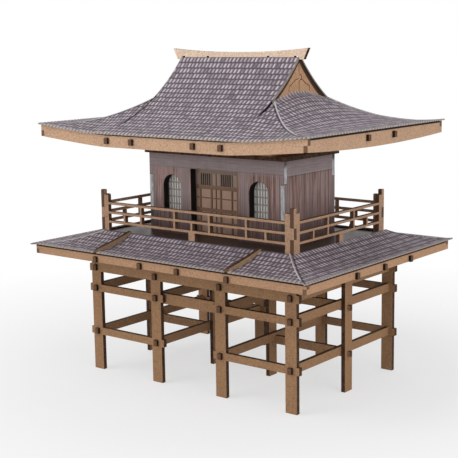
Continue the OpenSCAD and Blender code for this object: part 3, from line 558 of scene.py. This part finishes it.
def door_look(name, settings):
    """Doors with panels set back between their frames, and painted shade behind the opening."""
    look = Look(name)
    at = look.place()
    x, y, z = look.split(at)
    facing = look.facing()
    up, back = z - DECK_TOP, y - LEAF_FACE
    grain = look.noise(look.join(x * 1.6, y, up * 0.07), 1.0, 3.0, 0.6)
    blotch = look.noise(look.scaled(at, (0.12, 0.12, 0.1)), 1.0, 2.0)
    panel = look.mix((grain * 0.6 + blotch * 0.5).limit(), toned(settings.door, 0.66),
                     toned(settings.door, 1.12))
    border = look.mix(grain, toned(settings.door_frame, 0.7), toned(settings.door_frame, 1.3))
    edge = look.mix(grain, toned(settings.door_frame, 0.35), toned(settings.door_frame, 0.6))
    flat = abs(facing[1]) > SQUARE_ON
    body = look.mix(back.ramp(0.25, 0.45) * flat, border, panel)
    body = look.mix(flat, edge, body)
    body = look.mix(up.ramp(34.5, 37) * 0.5, body, DOOR_HEAD)
    # painted shade: darker towards the foot of the doors
    body = look.mix((1 - up.ramp(2, 16)) * 0.35, body, tuple(settings.dark))
    # painted shade on the deep frame behind the opening, and on the inside
    hidden = (back < -0.2).most(back > 0.9)
    body = look.mix(hidden, body, look.mix(grain, *SHADED_INSIDE))
    return look.finish(body, 0.7, grain, 0.00006)


def lattice_look(name, settings):
    """White window bars over paper, with painted shade on the side towards the room."""
    look = Look(name)
    at = look.place()
    facing = look.facing()
    out = abs(look.split(at)[1]) + LEAF_FACE
    fibre = look.noise(look.scaled(at, (1.5, 1.5, 0.2)), 1.0, 2.0)
    pane = look.mix(fibre, toned(settings.pane, 0.93), tuple(settings.pane))
    bar = look.mix(fibre, BAR_GREY, BAR_WHITE)
    bars = (out > -0.2).most(1 - (abs(facing[1]) > SQUARE_ON))
    body = look.mix(bars, pane, bar)
    # painted shade on what lies towards the room
    body = look.mix(out > 0.1, body, look.mix(fibre, *SHADED_INSIDE))
    return look.finish(body, 0.75)


def deck_look(name, settings):
    """Planks printed on the deck's top, plain board under it and burnt edges."""
    look = Look(name)
    x, y = look.split(look.place())[:2]
    facing = look.facing()
    top = facing[2] > SQUARE_ON
    luck = look.chance(look.join((y / DECK_PLANK).floor(), 2.0, 0.5))
    grain = look.noise(look.join(x * 0.1, y * 1.4, 3.0), 1.0, 3.0, 0.6)
    body = look.mix((luck * 0.6 + grain * 0.4).limit(), toned(settings.deck, 0.5), toned(settings.deck, 0.82))
    seam = (y / DECK_PLANK).fract().line(0.0, 0.1)
    seam = seam.most(((x + luck * 60) / DECK_LENGTH).fract().line(0.0, 0.012))
    body = look.mix(seam * 0.65, body, tuple(settings.dark))
    sides = look.mix(abs(facing[2]) > SQUARE_ON, look.mix(grain, *DECK_CUT), look.mix(grain, *DECK_UNDER))
    return look.finish(look.mix(top, sides, body), 0.78 - top * 0.4, grain, 0.00003, 0.8)


# ---------- curves of the roofs, in millimetres ----------
def share(value):
    """A value held between 0 and 1."""
    return min(1.0, max(0.0, value))


def eased(value):
    """A share that starts and ends gently."""
    return value * value * (3 - 2 * value)


class RoofCurve:
    """The main slope: an arc through the ridge and the eave, and the swept skirts under it."""

    def __init__(self, tiles):
        self.card = tiles.card / MM
        self.radius = tiles.slope_radius / MM
        self.sweep = tiles.eave_sweep / MM
        self.bump = tiles.bump / MM
        self.bend = tiles.hip_bend / MM
        self.eave_z = EAVE_UNDER + self.card
        for _ in range(4):      # the card's upright thickness at the eave depends on the arc itself
            self.fit()
            self.eave_z = EAVE_UNDER + self.skin(EAVE_Y)
        self.fit()

    def fit(self):
        span_y, span_z = EAVE_Y - HALF, RIDGE_Z - self.eave_z
        chord = math.hypot(span_y, span_z)
        lift = math.sqrt(self.radius ** 2 - chord ** 2 / 4)
        self.mid_y = (HALF + EAVE_Y) / 2 + lift * span_z / chord
        self.mid_z = (RIDGE_Z + self.eave_z) / 2 + lift * span_y / chord

    def top(self, y):
        return self.mid_z - math.sqrt(self.radius ** 2 - (self.mid_y - y) ** 2)

    def skin(self, y):
        return self.card * self.radius / math.sqrt(self.radius ** 2 - (self.mid_y - y) ** 2)

    def angle(self, y):
        return math.asin((self.mid_y - y) / self.radius)

    def up(self, y):
        """Distance up the slope from the eave."""
        return self.radius * (self.angle(y) - self.angle(EAVE_Y))

    def swept(self, x, y):
        across = share((abs(x) - VERGE_X) / (EAVE_X - VERGE_X)) ** SWEEP_CURVE
        return self.sweep * across * share((abs(y) - SWEEP_Y) / (EAVE_Y - SWEEP_Y))

    def skirt(self, x, y):
        return self.top(abs(y)) - self.skin(abs(y)) + self.swept(x, y)

    def wing(self, x, y):
        """Top of a corner wing: it comes level with the main slope further down."""
        level = eased(share((abs(y) - SKIRT_IN_Y - 9) / 12))
        near = eased(share(1 - (abs(x) - VERGE_X) / 20))
        return self.skirt(x, y) + self.skin(abs(y)) * level * near

    def hip(self, t):
        """A point of the hip in plan, t from 0 at the gable to 1 at the corner."""
        bow = self.bend * math.sin(math.pi * share(t))
        return HIP_START * (1 - t) + EAVE_X * t - bow, SKIRT_IN_Y * (1 - t) + EAVE_Y * t

    def side(self, t, v):
        """A point of the right skirt, v from -1 at the front hip to 1 at the rear hip."""
        x, y = self.hip(t)
        straight = HIP_START * (1 - t) + EAVE_X * t
        z = self.skirt(straight, y) * (1 - v ** 4) + self.skirt(x, y) * v ** 4
        z += self.bump * (1 - t) ** 1.5 * max(0.0, 1 - v * v) ** 1.4
        x = straight + (x - straight) * v ** 4
        inner = GABLE_FACE + 0.02
        if abs(v) < 0.98 and t < 1 / 9:
            x = inner + (x - inner) * t * 9      # drawn in to the gable, but not at the hips
        return x, y * v, z


def low_height(tiles, s):
    """Top of the lower card, s from 0 at the railing to 1 at the eave."""
    eave = LOW_UNDER + tiles.card / MM
    left = max(0.0, 1 - s)
    return eave + (LOW_TOP - eave) * (0.92 * left ** 2.1 + 0.08 * left)


# ---------- modelling helpers ----------
def nothing_selected():
    if bpy.context.object and bpy.context.object.mode != "OBJECT":
        bpy.ops.object.mode_set(mode="OBJECT")
    bpy.ops.object.select_all(action="DESELECT")


def only(piece):
    nothing_selected()
    piece.select_set(True)
    bpy.context.view_layer.objects.active = piece


def pick(test, kind="verts"):
    """Selects, in edit mode, what passes a test on its middle."""
    mesh = bmesh.from_edit_mesh(bpy.context.object.data)
    for group in (mesh.verts, mesh.edges, mesh.faces):
        for item in group:
            item.select = False
    for item in getattr(mesh, kind):
        middle = item.co if kind == "verts" else (
            (item.verts[0].co + item.verts[1].co) / 2 if kind == "edges" else item.calc_center_median())
        if test(middle / MM):
            item.select_set(True)
    mesh.select_flush_mode()
    bmesh.update_edit_mesh(bpy.context.object.data)


def applied(piece, kind, **settings):
    only(piece)
    modifier = piece.modifiers.new(kind.title(), kind)
    for key, value in settings.items():
        setattr(modifier, key, value)
    bpy.ops.object.modifier_apply(modifier=modifier.name)


def drawn_sheet(name, outward, half_width, profile, middle=0.0):
    """Draws a sheet out edge by edge: profile lists (distance, height) from the eave inwards,
    distance measured along outward, one of the four plan directions."""
    (d0, z0), (d1, z1) = profile[:2]
    ox, oy = outward
    nothing_selected()
    centre = ((d0 + d1) / 2 * ox + middle * abs(oy), (d0 + d1) / 2 * oy + middle * abs(ox), z0)
    bpy.ops.mesh.primitive_plane_add(size=1, location=[c * MM for c in centre])
    piece = bpy.context.object
    piece.name = name
    step, width = (d0 - d1) * MM, 2 * half_width * MM
    piece.scale = (step, width, 1) if ox else (width, step, 1)
    bpy.ops.object.transform_apply(location=True, rotation=True, scale=True)
    bpy.ops.object.mode_set(mode="EDIT")
    pick(lambda p: p.x * ox + p.y * oy < (d0 + d1) / 2)
    bpy.ops.transform.translate(value=(0, 0, (z1 - z0) * MM))
    for (da, za), (db, zb) in zip(profile[1:], profile[2:]):
        bpy.ops.mesh.extrude_region_move(TRANSFORM_OT_translate={
            "value": ((db - da) * ox * MM, (db - da) * oy * MM, (zb - za) * MM)})
    bpy.ops.object.mode_set(mode="OBJECT")
    return piece


def trimmed(piece, point, normal):
    """Cuts away what lies beyond a plane, on the side its normal points to."""
    only(piece)
    bpy.ops.object.mode_set(mode="EDIT")
    bpy.ops.mesh.select_all(action="SELECT")
    bpy.ops.mesh.bisect(plane_co=[p * MM for p in point], plane_no=normal, clear_outer=True)
    bpy.ops.object.mode_set(mode="OBJECT")


def formed_sheet(name, columns, rows, form):
    """A grid laid over a double-curved surface, which no straight extrusion follows.
    form(c, r) gives a point for the grid's own 0 to 1 coordinates."""
    nothing_selected()
    bpy.ops.mesh.primitive_grid_add(x_subdivisions=columns, y_subdivisions=rows, size=1)
    piece = bpy.context.object
    piece.name = name
    for vertex in piece.data.vertices:
        vertex.co = Vector(form(vertex.co.x + 0.5, vertex.co.y + 0.5)) * MM
    return piece


def mapped(piece, along_axis, up):
    """Writes the piece's own map: along the eave, and up from the eave."""
    layer = piece.data.uv_layers.active or piece.data.uv_layers.new(name="Tiles")
    for loop in piece.data.loops:
        at = piece.data.vertices[loop.vertex_index].co / MM
        layer.data[loop.index].uv = (at[along_axis] * MM, up(at) * MM)


def face_up(piece):
    only(piece)
    if sum(p.normal.z * p.area for p in piece.data.polygons) < 0:
        bpy.ops.object.mode_set(mode="EDIT")
        bpy.ops.mesh.select_all(action="SELECT")
        bpy.ops.mesh.flip_normals()
        bpy.ops.object.mode_set(mode="OBJECT")


def card_made(piece, looks, thickness):
    """Gives a sheet its thickness below the print, with its own finish on the cut edge and underneath."""
    piece.data.materials.clear()
    for look in looks:
        piece.data.materials.append(look)
    applied(piece, "SOLIDIFY", thickness=thickness, offset=-1.0, material_offset=2, material_offset_rim=1,
            use_even_offset=True)
    only(piece)
    bpy.ops.object.shade_smooth_by_angle(angle=math.radians(35))


def copied(piece, name, scale):
    """A mirrored copy with its own mesh, at the origin, its faces still outwards."""
    only(piece)
    bpy.ops.object.duplicate(linked=False)
    twin = bpy.context.object
    twin.name = name
    twin.scale = scale
    bpy.ops.object.transform_apply(location=False, rotation=False, scale=True)
    if scale[0] * scale[1] * scale[2] < 0:
        bpy.ops.object.mode_set(mode="EDIT")
        bpy.ops.mesh.select_all(action="SELECT")
        bpy.ops.mesh.normals_make_consistent(inside=False)
        bpy.ops.object.mode_set(mode="OBJECT")
    return twin


def hip_strip(name, points, width, height, toward):
    """A thin standing edge along a hip: a small upright face drawn along the points."""
    nothing_selected()
    first, across = Vector(points[0]), toward.normalized()
    sunk = 0.6                                  # share of its height that it reaches below the points
    bpy.ops.mesh.primitive_plane_add(size=1)
    piece = bpy.context.object
    piece.name = name
    corners = [(0, -sunk), (1, -sunk), (0, 1), (1, 1)]
    ordered = sorted(piece.data.vertices, key=lambda v: (v.co.y, v.co.x))
    for vertex, (c, h) in zip(ordered, corners):
        vertex.co = (first + across * (c * width) + Vector((0, 0, h * height))) * MM
    bpy.ops.object.mode_set(mode="EDIT")
    bpy.ops.mesh.select_all(action="SELECT")
    for a, b in zip(points, points[1:]):
        move = (Vector(b) - Vector(a)) * MM
        bpy.ops.mesh.extrude_region_move(TRANSFORM_OT_translate={"value": tuple(move)})
    bpy.ops.mesh.select_all(action="SELECT")
    bpy.ops.mesh.normals_make_consistent(inside=False)
    bpy.ops.object.mode_set(mode="OBJECT")
    return piece


def joined(pieces, name):
    nothing_selected()
    for piece in pieces:
        piece.select_set(True)
    bpy.context.view_layer.objects.active = pieces[0]
    bpy.ops.object.join()
    pieces[0].name = name
    return pieces[0]


def dressed(nodes, look):
    """Puts a finish on parts that keep their cut shape."""
    for name in nodes:
        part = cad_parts[name]
        if not part.material_slots:
            part.data.materials.append(look)
        for slot in part.material_slots:
            slot.material = look


# ---------- stage, in metres ----------
FLOOR_SIZE = 8
LAMP_TARGET = (0, 0, 0.12)                      # the lamps point at the middle of the gate
LAMPS = (("key", (-0.85, -0.9, 1.4), 0.9),      # setting for its power, place, width
         ("front", (-0.6, -1.55, 0.35), 0.8),
         ("side", (1.4, -0.25, 0.4), 0.9))
CAMERA_PLACE = (0.487, -0.622, 0.2405)
CAMERA_TURN = (80.22, 0.74, 37.93)              # degrees
CAMERA_SENSOR, CAMERA_LENS = 36.0, 87.24        # millimetres
CAMERA_SHIFT = -0.0272                          # share of the picture's width


# ---------- operators ----------
class GATE_OT_board_finishes(bpy.types.Operator):
    """Dress the cut boards: speckled faces, burnt edges, sooty tenons"""
    bl_idname = "gate.board_finishes"
    bl_label = "Board finishes"

    def execute(self, context):
        tone = context.scene.gate_boards
        cut, soot, hidden = tuple(tone.cut), tuple(tone.soot), tuple(tone.hidden)
        pale_cut, brown, rail_cut = tuple(tone.scorched), toned(cut, 1.4), toned(tone.scorched, 0.6)
        curve = RoofCurve(context.scene.gate_tiles)
        stilt_y, ridge_end = high("rear_leg_frame", 1), high("ridge_board", 0)
        low_top, roof_top = high("low_fascia_front", 2), high("roof_fascia_right", 2)

        def dark_top(height, depth):
            """A dark band along the top of a fascia, under the card."""
            def marks(look, place, tan):
                return look.mix((place[2] - height(place) + depth).ramp(-0.15, 0.15), tan, soot)
            return marks

        def swept_top(place):
            across = ((abs(place[0]) - VERGE_X) * (1 / (EAVE_X - VERGE_X))).limit() ** SWEEP_CURVE
            out = (FASCIA_Y - SWEEP_Y) / (EAVE_Y - SWEEP_Y)
            return across * (curve.sweep * out) + (curve.top(FASCIA_Y) - curve.skin(FASCIA_Y))

        def gable_marks(look, place, tan):
            """The engraved lines, and painted shadow along the top under the cards."""
            x, y, z = abs(place[0]), abs(place[1]), place[2]
            groove = (x > GABLE_FACE - 2.5) * (x < GABLE_FACE - 0.1)
            tan = look.mix(groove, tan, GROOVE)
            arc = (curve.radius ** 2 - (curve.mid_y - y) ** 2) ** 0.5
            under = curve.mid_z - arc - curve.card * curve.radius / arc
            # painted shadow of the cards, in the soot colour, along the top of the gable
            return look.mix((under - z).ramp(4.1, 3.4) * 0.92, tan, soot)

        def ridge_marks(look, place, tan):
            end = abs(place[0]).ramp(ridge_end - 0.8, ridge_end - 0.1)
            return look.mix(end * 0.3, tan, cut)

        dressed(["front_leg_frame", "rear_leg_frame", "middle_spine_rail", "low_spine_rails",
                 "gate_lintel_front", "gate_lintel_rear"],
                board_look("post_board_long", 1, tuple(tone.post), cut, soot))
        dressed(["top_cross_boards", "middle_cross_rails", "low_cross_rails", "middle_posts"],
                board_look("post_board_cross", 0, tuple(tone.post), cut, soot,
                           tips=[(1, stilt_y + TENON_CLEAR)]))
        dressed(["low_fascia_front", "low_fascia_rear"],
                board_look("low_fascia_long", 1, tuple(tone.low_fascia), pale_cut, brown,
                           extra=dark_top(lambda _: low_top, 1.35)))
        # painted light: the side lower fascias are paler than the front and rear
        dressed(["low_fascia_left", "low_fascia_right"],
                board_look("low_fascia_cross", 0, toned(tone.low_fascia, 1.1), pale_cut, brown,
                           extra=dark_top(lambda _: low_top, 1.45)))
        dressed(["roof_fascia_front", "roof_fascia_rear"],
                board_look("fascia_board_long", 1, tuple(tone.fascia), pale_cut, brown,
                           extra=dark_top(swept_top, 1.0)))
        # painted shade: the side fascias are darker than the front and rear
        dressed(["roof_fascia_left", "roof_fascia_right"],
                board_look("fascia_board_cross", 0, toned(tone.fascia, 0.92), pale_cut, brown,
                           extra=dark_top(lambda _: roof_top, 1.15)))
        dressed(["crest_ribs", "short_rafters"],
                board_look("rafter_board_cross", 0, RAFTER, cut, soot,
                           tips=[(1, LOW_FASCIA_Y + TENON_CLEAR)]))
        dressed(["side_rafters"],
                board_look("rafter_board_long", 1, hidden, cut, soot, tips=[(0, LOW_FASCIA_X + TENON_CLEAR)]))
        dressed(["railing_front", "railing_rear"],
                board_look("railing_board_long", 1, tuple(tone.railing), rail_cut, cut))
        dressed(["railing_left", "railing_right"],
                board_look("railing_board_cross", 0, tuple(tone.railing), rail_cut, cut))
        dressed(["roof_rafters"],
                board_look("roof_rafter_board", 1, hidden, cut, soot, tips=[(0, FASCIA_X + TENON_CLEAR)]))
        dressed(["roof_base_board", "roof_locator"], board_look("base_board", 2, hidden, cut, soot))
        dressed(["gable_left", "gable_right", "inner_truss_left", "inner_truss_right"],
                board_look("gable_board", 0, tuple(tone.gable), cut, soot,
                           tips=[(1, FASCIA_Y + TENON_CLEAR)], extra=gable_marks))
        dressed(["ridge_board"],
                board_look("ridge_board", 1, tuple(tone.ridge), cut, soot, extra=ridge_marks))
        return {"FINISHED"}


class GATE_OT_room_finishes(bpy.types.Operator):
    """Dress the room: printed planks, window bars and the deck"""
    bl_idname = "gate.room_finishes"
    bl_label = "Room finishes"

    def execute(self, context):
        tone = context.scene.gate_room
        dressed(["wall_front", "wall_rear"], plank_look("plank_print_long", tone, 1, WALL_X))
        dressed(["wall_left", "wall_right"], plank_look("plank_print_cross", tone, 0, WALL_Y))
        dressed(["door_left", "door_right"], door_look("door_print", tone))
        dressed(["window_lattices"], lattice_look("window_bars", tone))
        dressed(["deck_board"], deck_look("deck_print", tone))
        return {"FINISHED"}


class GATE_OT_main_slopes(bpy.types.Operator):
    """Draw the two curved tile cards of the upper roof"""
    bl_idname = "gate.main_slopes"
    bl_label = "Main slopes"

    def execute(self, context):
        tiles = context.scene.gate_tiles
        curve = RoofCurve(tiles)
        looks = [tile_look("tile_print_slope", tiles, slope=True),
                 card_edge_look("card_edge_slope", tiles, slope=True),
                 underside_look("card_underside", CARD_UNDER)]
        steps = 36
        ends = [EAVE_Y + (HALF - EAVE_Y) * i / steps for i in range(steps + 1)]
        for name, outward, node in (("roof_card_front", (0, -1), "main_slope_front"),
                                    ("roof_card_rear", (0, 1), "main_slope_rear")):
            card = drawn_sheet(name, outward, VERGE_X, [(y, curve.top(y)) for y in ends])
            mapped(card, 0, lambda at: curve.up(abs(at.y)))
            face_up(card)
            card_made(card, looks, tiles.card)
            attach(card, "roof")
            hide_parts(node)
        return {"FINISHED"}


class GATE_OT_corner_wings(bpy.types.Operator):
    """Form the four swept corner wings beside the main slopes, and the lining between them"""
    bl_idname = "gate.corner_wings"
    bl_label = "Corner wings"

    def execute(self, context):
        tiles = context.scene.gate_tiles
        curve = RoofCurve(tiles)
        looks = [tile_look("tile_print_wing", tiles, wing=True,
                           hip=lambda place: hip_distance(place, curve) + 0.9),
                 card_edge_look("card_edge_wing", tiles),
                 underside_look("wing_underside", CARD_UNDER)]
        inner = VERGE_X + 0.01                  # just clear of the main slope

        def form(c, r):
            hip_x, y = curve.hip(1 - r)
            x = inner + (hip_x - inner) * c
            return x, y, curve.wing(x, y)

        wing = formed_sheet("roof_wing_rear_right", 26, 30, form)
        mapped(wing, 0, lambda at: curve.up(at.y))
        face_up(wing)
        card_made(wing, looks, tiles.card)
        rear = [wing, copied(wing, "roof_wing_rear_left", (-1, 1, 1))]
        front = [copied(wing, "roof_wing_front_right", (1, -1, 1)),
                 copied(wing, "roof_wing_front_left", (-1, -1, 1))]
        # the lining is painted dark, as the shade in the gap under the main slopes
        shaded_lining_look = underside_look("lining_card", SHADED_LINING)
        steps = 14
        outer = EAVE_Y - 0.9                    # the lining stops short of the eave
        ends = [outer + (SKIRT_IN_Y - outer) * i / steps for i in range(steps + 1)]
        for side, outward, node, wings in (("front", (0, -1), "skirt_front", front),
                                           ("rear", (0, 1), "skirt_rear", rear)):
            lining = drawn_sheet("roof_lining_" + side, outward, VERGE_X,
                                 [(y, curve.top(y) - curve.skin(y)) for y in ends])
            face_up(lining)
            card_made(lining, [shaded_lining_look, shaded_lining_look, shaded_lining_look], tiles.card)
            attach(lining, "roof")
            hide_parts(node)
            for piece in wings:
                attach(piece, "roof")
        return {"FINISHED"}


class GATE_OT_side_skirts(bpy.types.Operator):
    """Form the two side skirts that rise against the gables"""
    bl_idname = "gate.side_skirts"
    bl_label = "Side skirts"

    def execute(self, context):
        tiles = context.scene.gate_tiles
        curve = RoofCurve(tiles)
        looks = [tile_look("tile_print_skirt", tiles, ledge=True),
                 card_edge_look("card_edge_skirt", tiles),
                 underside_look("skirt_underside", CARD_UNDER)]
        rows = 30
        middle = [Vector(curve.side(i / rows, 0.6)) for i in range(rows + 1)]
        upward = [0.0] * (rows + 1)
        for i in range(rows - 1, -1, -1):
            upward[i] = upward[i + 1] + (middle[i] - middle[i + 1]).length

        def height(at):
            t = share((at.x - HIP_START) / (EAVE_X - HIP_START)) * rows
            i = min(rows - 1, int(t))
            return upward[i] + (upward[i + 1] - upward[i]) * (t - i)

        skirt = formed_sheet("roof_skirt_right", 44, rows, lambda c, r: curve.side(1 - r, 2 * c - 1))
        mapped(skirt, 1, height)
        face_up(skirt)
        card_made(skirt, looks, tiles.card)
        twin = copied(skirt, "roof_skirt_left", (-1, 1, 1))
        for piece, node in ((skirt, "skirt_right"), (twin, "skirt_left")):
            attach(piece, "roof")
            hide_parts(node)
        return {"FINISHED"}


class GATE_OT_lower_cards(bpy.types.Operator):
    """Draw the tile cards of the lower roof and mitre them at the hips"""
    bl_idname = "gate.lower_cards"
    bl_label = "Lower roof cards"

    def execute(self, context):
        tiles = context.scene.gate_tiles
        shift = tiles.low_hip_shift / MM
        looks = [tile_look("tile_print_lower", tiles, shine=0.45,
                           hip=lambda place: hip_distance(place, shift=shift) - 1.3),
                 card_edge_look("card_edge_lower", tiles, shine=0.18),
                 underside_look("lower_underside", CARD_UNDER)]
        steps = 22
        over = 6                                # past the corner, for the mitre to cut off

        def profile(face, run, out):
            """From the eave's lip, over the fascia and up to the railing."""
            shares = [1 - i / steps for i in range(steps + 1)]
            return [(out, low_height(tiles, 1))] + [(face + run * s, low_height(tiles, s)) for s in shares]

        front = profile(RAIL_Y, LOW_RUN_Y, LOW_Y)
        side = profile(RAIL_X, LOW_RUN_X, LOW_X)

        def upward(line, distance):
            total = 0.0
            for (da, za), (db, zb) in zip(line, line[1:]):
                part = math.hypot(da - db, zb - za)
                if distance >= db - 1e-6:
                    return total + part * (da - distance) / (da - db)
                total += part
            return total

        corner = Vector((RAIL_X - shift, RAIL_Y, 0))
        past = Vector((-LOW_RUN_Y, LOW_RUN_X, 0)).normalized()      # from the side card to the rear card
        middle = drawn_sheet("low_card_rear_middle", (0, 1), CREST_IN, front)
        end = drawn_sheet("low_card_rear_right", (0, 1), (LOW_X + over - CREST_OUT) / 2, front,
                          (LOW_X + over + CREST_OUT) / 2)
        trimmed(end, corner, tuple(-past))
        for piece in (middle, end):
            mapped(piece, 0, lambda at: upward(front, at.y))
        right = drawn_sheet("low_card_right", (1, 0), LOW_Y + over, side)
        trimmed(right, corner, tuple(past))
        trimmed(right, (corner.x, -RAIL_Y, 0), (past.x, -past.y, 0))
        mapped(right, 1, lambda at: upward(side, at.x))
        for piece in (middle, end, right):
            face_up(piece)
            card_made(piece, looks, tiles.card)
        made = [(middle, "low_tiles_rear_middle"), (end, "low_tiles_rear_right"), (right, "low_tiles_right")]
        for source, name, scale, node in (
                (middle, "low_card_front_middle", (1, -1, 1), "low_tiles_front_middle"),
                (end, "low_card_rear_left", (-1, 1, 1), "low_tiles_rear_left"),
                (end, "low_card_front_right", (1, -1, 1), "low_tiles_front_right"),
                (end, "low_card_front_left", (-1, -1, 1), "low_tiles_front_left"),
                (right, "low_card_left", (-1, 1, 1), "low_tiles_left")):
            made.append((copied(source, name, scale), node))
        for piece, node in made:
            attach(piece, "building")
            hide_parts(node)
        return {"FINISHED"}


class GATE_OT_hip_edges(bpy.types.Operator):
    """Lay the white card edges along the hips of both roofs"""
    bl_idname = "gate.hip_edges"
    bl_label = "Hip edges"

    def execute(self, context):
        tiles = context.scene.gate_tiles
        curve = RoofCurve(tiles)
        look = Look("hip_card_edge")
        grain = look.noise(look.place(), 0.8, 3.0)
        white = look.finish(look.mix(grain, HIP_GREY, HIP_WHITE), 0.7)
        width, height = 0.75, 0.6
        steps = 26
        shift = tiles.low_hip_shift / MM
        upper, lower = [], []
        for i in range(steps + 1):
            x, y = curve.hip(0.02 + 0.76 * i / steps)
            fade = min(1.0, (1 - i / steps) * 5)
            upper.append((x, y, curve.skirt(x, y) - 0.55 + 0.5 * fade))
            s = 0.01 + 0.96 * i / steps
            lower.append((RAIL_X - shift + LOW_RUN_X * s, RAIL_Y + LOW_RUN_Y * s, low_height(tiles, s) - 0.1))
        for name, points, body, slot in (("roof_hip_edge", upper, "roof", "upper_tile_card"),
                                         ("low_hip_edge", lower, "building", "lower_tile_card")):
            along = Vector(points[-1]) - Vector(points[0])
            # above, the edge of the side card shows; below, the edge of the front card
            toward = Vector((along.y, -along.x, 0)) * (1 if body == "roof" else -1)
            strip = hip_strip(name, points, width, height, toward)
            strip.data.materials.append(white)
            strips = [strip] + [copied(strip, name, scale) for scale in ((-1, 1, 1), (1, -1, 1), (-1, -1, 1))]
            strips = joined(strips, name + "s")
            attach(strips, body)
        return {"FINISHED"}


class GATE_OT_stage(bpy.types.Operator):
    """Set the floor, the soft lamps, the sky and the camera"""
    bl_idname = "gate.stage"
    bl_label = "Stage"

    def execute(self, context):
        scene = context.scene
        stage = scene.gate_stage
        nothing_selected()
        bpy.ops.mesh.primitive_plane_add(size=FLOOR_SIZE, location=(0, 0, -0.0002))
        floor = context.object
        floor.name = "floor"
        look = Look("floor_paper")
        x, y = look.split(look.place())[:2]
        # near the gate the floor takes shadows, and further out it glows to plain white
        far = ((x * x + y * y) ** 0.5).ramp(150, 420)
        paper = look.add("ShaderNodeBsdfDiffuse", inputs={"Color": tuple(stage.floor)})
        glow = look.add("ShaderNodeEmission", inputs={"Color": WHITE, "Strength": 1.0})
        both = look.add("ShaderNodeMixShader", inputs={0: look.seen() * (far * 0.4 + 0.6), 1: paper, 2: glow})
        floor.data.materials.append(look.close(both))

        sky = Look("Plain sky", bpy.data.worlds.new("Plain sky"))
        lit = sky.add("ShaderNodeBackground", inputs={"Color": WHITE, "Strength": stage.world})
        plain = sky.add("ShaderNodeBackground", inputs={"Color": WHITE, "Strength": 1.0})
        both = sky.add("ShaderNodeMixShader", inputs={0: sky.seen(), 1: lit, 2: plain})
        scene.world = sky.close(both, "ShaderNodeOutputWorld")

        for name, at, size in LAMPS:
            bpy.ops.object.light_add(type="AREA", location=at)
            lamp = context.object
            lamp.name = name + "_lamp"
            lamp.data.shape = "SQUARE"
            lamp.data.size = size
            lamp.data.energy = getattr(stage, name)
            lamp.rotation_euler = (Vector(LAMP_TARGET) - Vector(at)).to_track_quat("-Z", "Y").to_euler()

        bpy.ops.object.camera_add()
        camera = context.object
        camera.name = "camera"
        camera.location = CAMERA_PLACE
        camera.rotation_euler = [math.radians(angle) for angle in CAMERA_TURN]
        camera.data.sensor_width = CAMERA_SENSOR
        camera.data.lens = CAMERA_LENS
        camera.data.shift_x = CAMERA_SHIFT
        camera.data.clip_start = 0.01
        scene.camera = camera
        scene.view_settings.view_transform = "Standard"
        return {"FINISHED"}


class GATE_PT_panel(bpy.types.Panel):
    bl_idname = "GATE_PT_panel"
    bl_label = "Temple Gate"
    bl_space_type = "VIEW_3D"
    bl_region_type = "UI"
    bl_category = "Temple Gate"

    def draw(self, context):
        for operator in OPERATORS:
            self.layout.operator(operator.bl_idname)
        for group in (context.scene.gate_boards, context.scene.gate_tiles, context.scene.gate_room,
                      context.scene.gate_stage):
            for key in group.bl_rna.properties.keys():
                if key not in ("rna_type", "name"):
                    self.layout.prop(group, key)


OPERATORS = (GATE_OT_board_finishes, GATE_OT_room_finishes, GATE_OT_main_slopes, GATE_OT_corner_wings,
             GATE_OT_side_skirts, GATE_OT_lower_cards, GATE_OT_hip_edges, GATE_OT_stage)
GROUPS = (("gate_boards", BoardSettings), ("gate_tiles", TileSettings), ("gate_room", RoomSettings),
          ("gate_stage", StageSettings))


def register():
    for name, group in GROUPS:
        bpy.utils.register_class(group)
        setattr(bpy.types.Scene, name, bpy.props.PointerProperty(type=group))
    for item in (*OPERATORS, GATE_PT_panel):
        bpy.utils.register_class(item)


def unregister():
    for item in reversed((*OPERATORS, GATE_PT_panel)):
        bpy.utils.unregister_class(item)
    for name, group in reversed(GROUPS):
        delattr(bpy.types.Scene, name)
        bpy.utils.unregister_class(group)


def main():
    register()
    for operator in OPERATORS:
        getattr(bpy.ops.gate, operator.bl_idname.split(".")[1])()


if __name__ == "__main__":
    main()
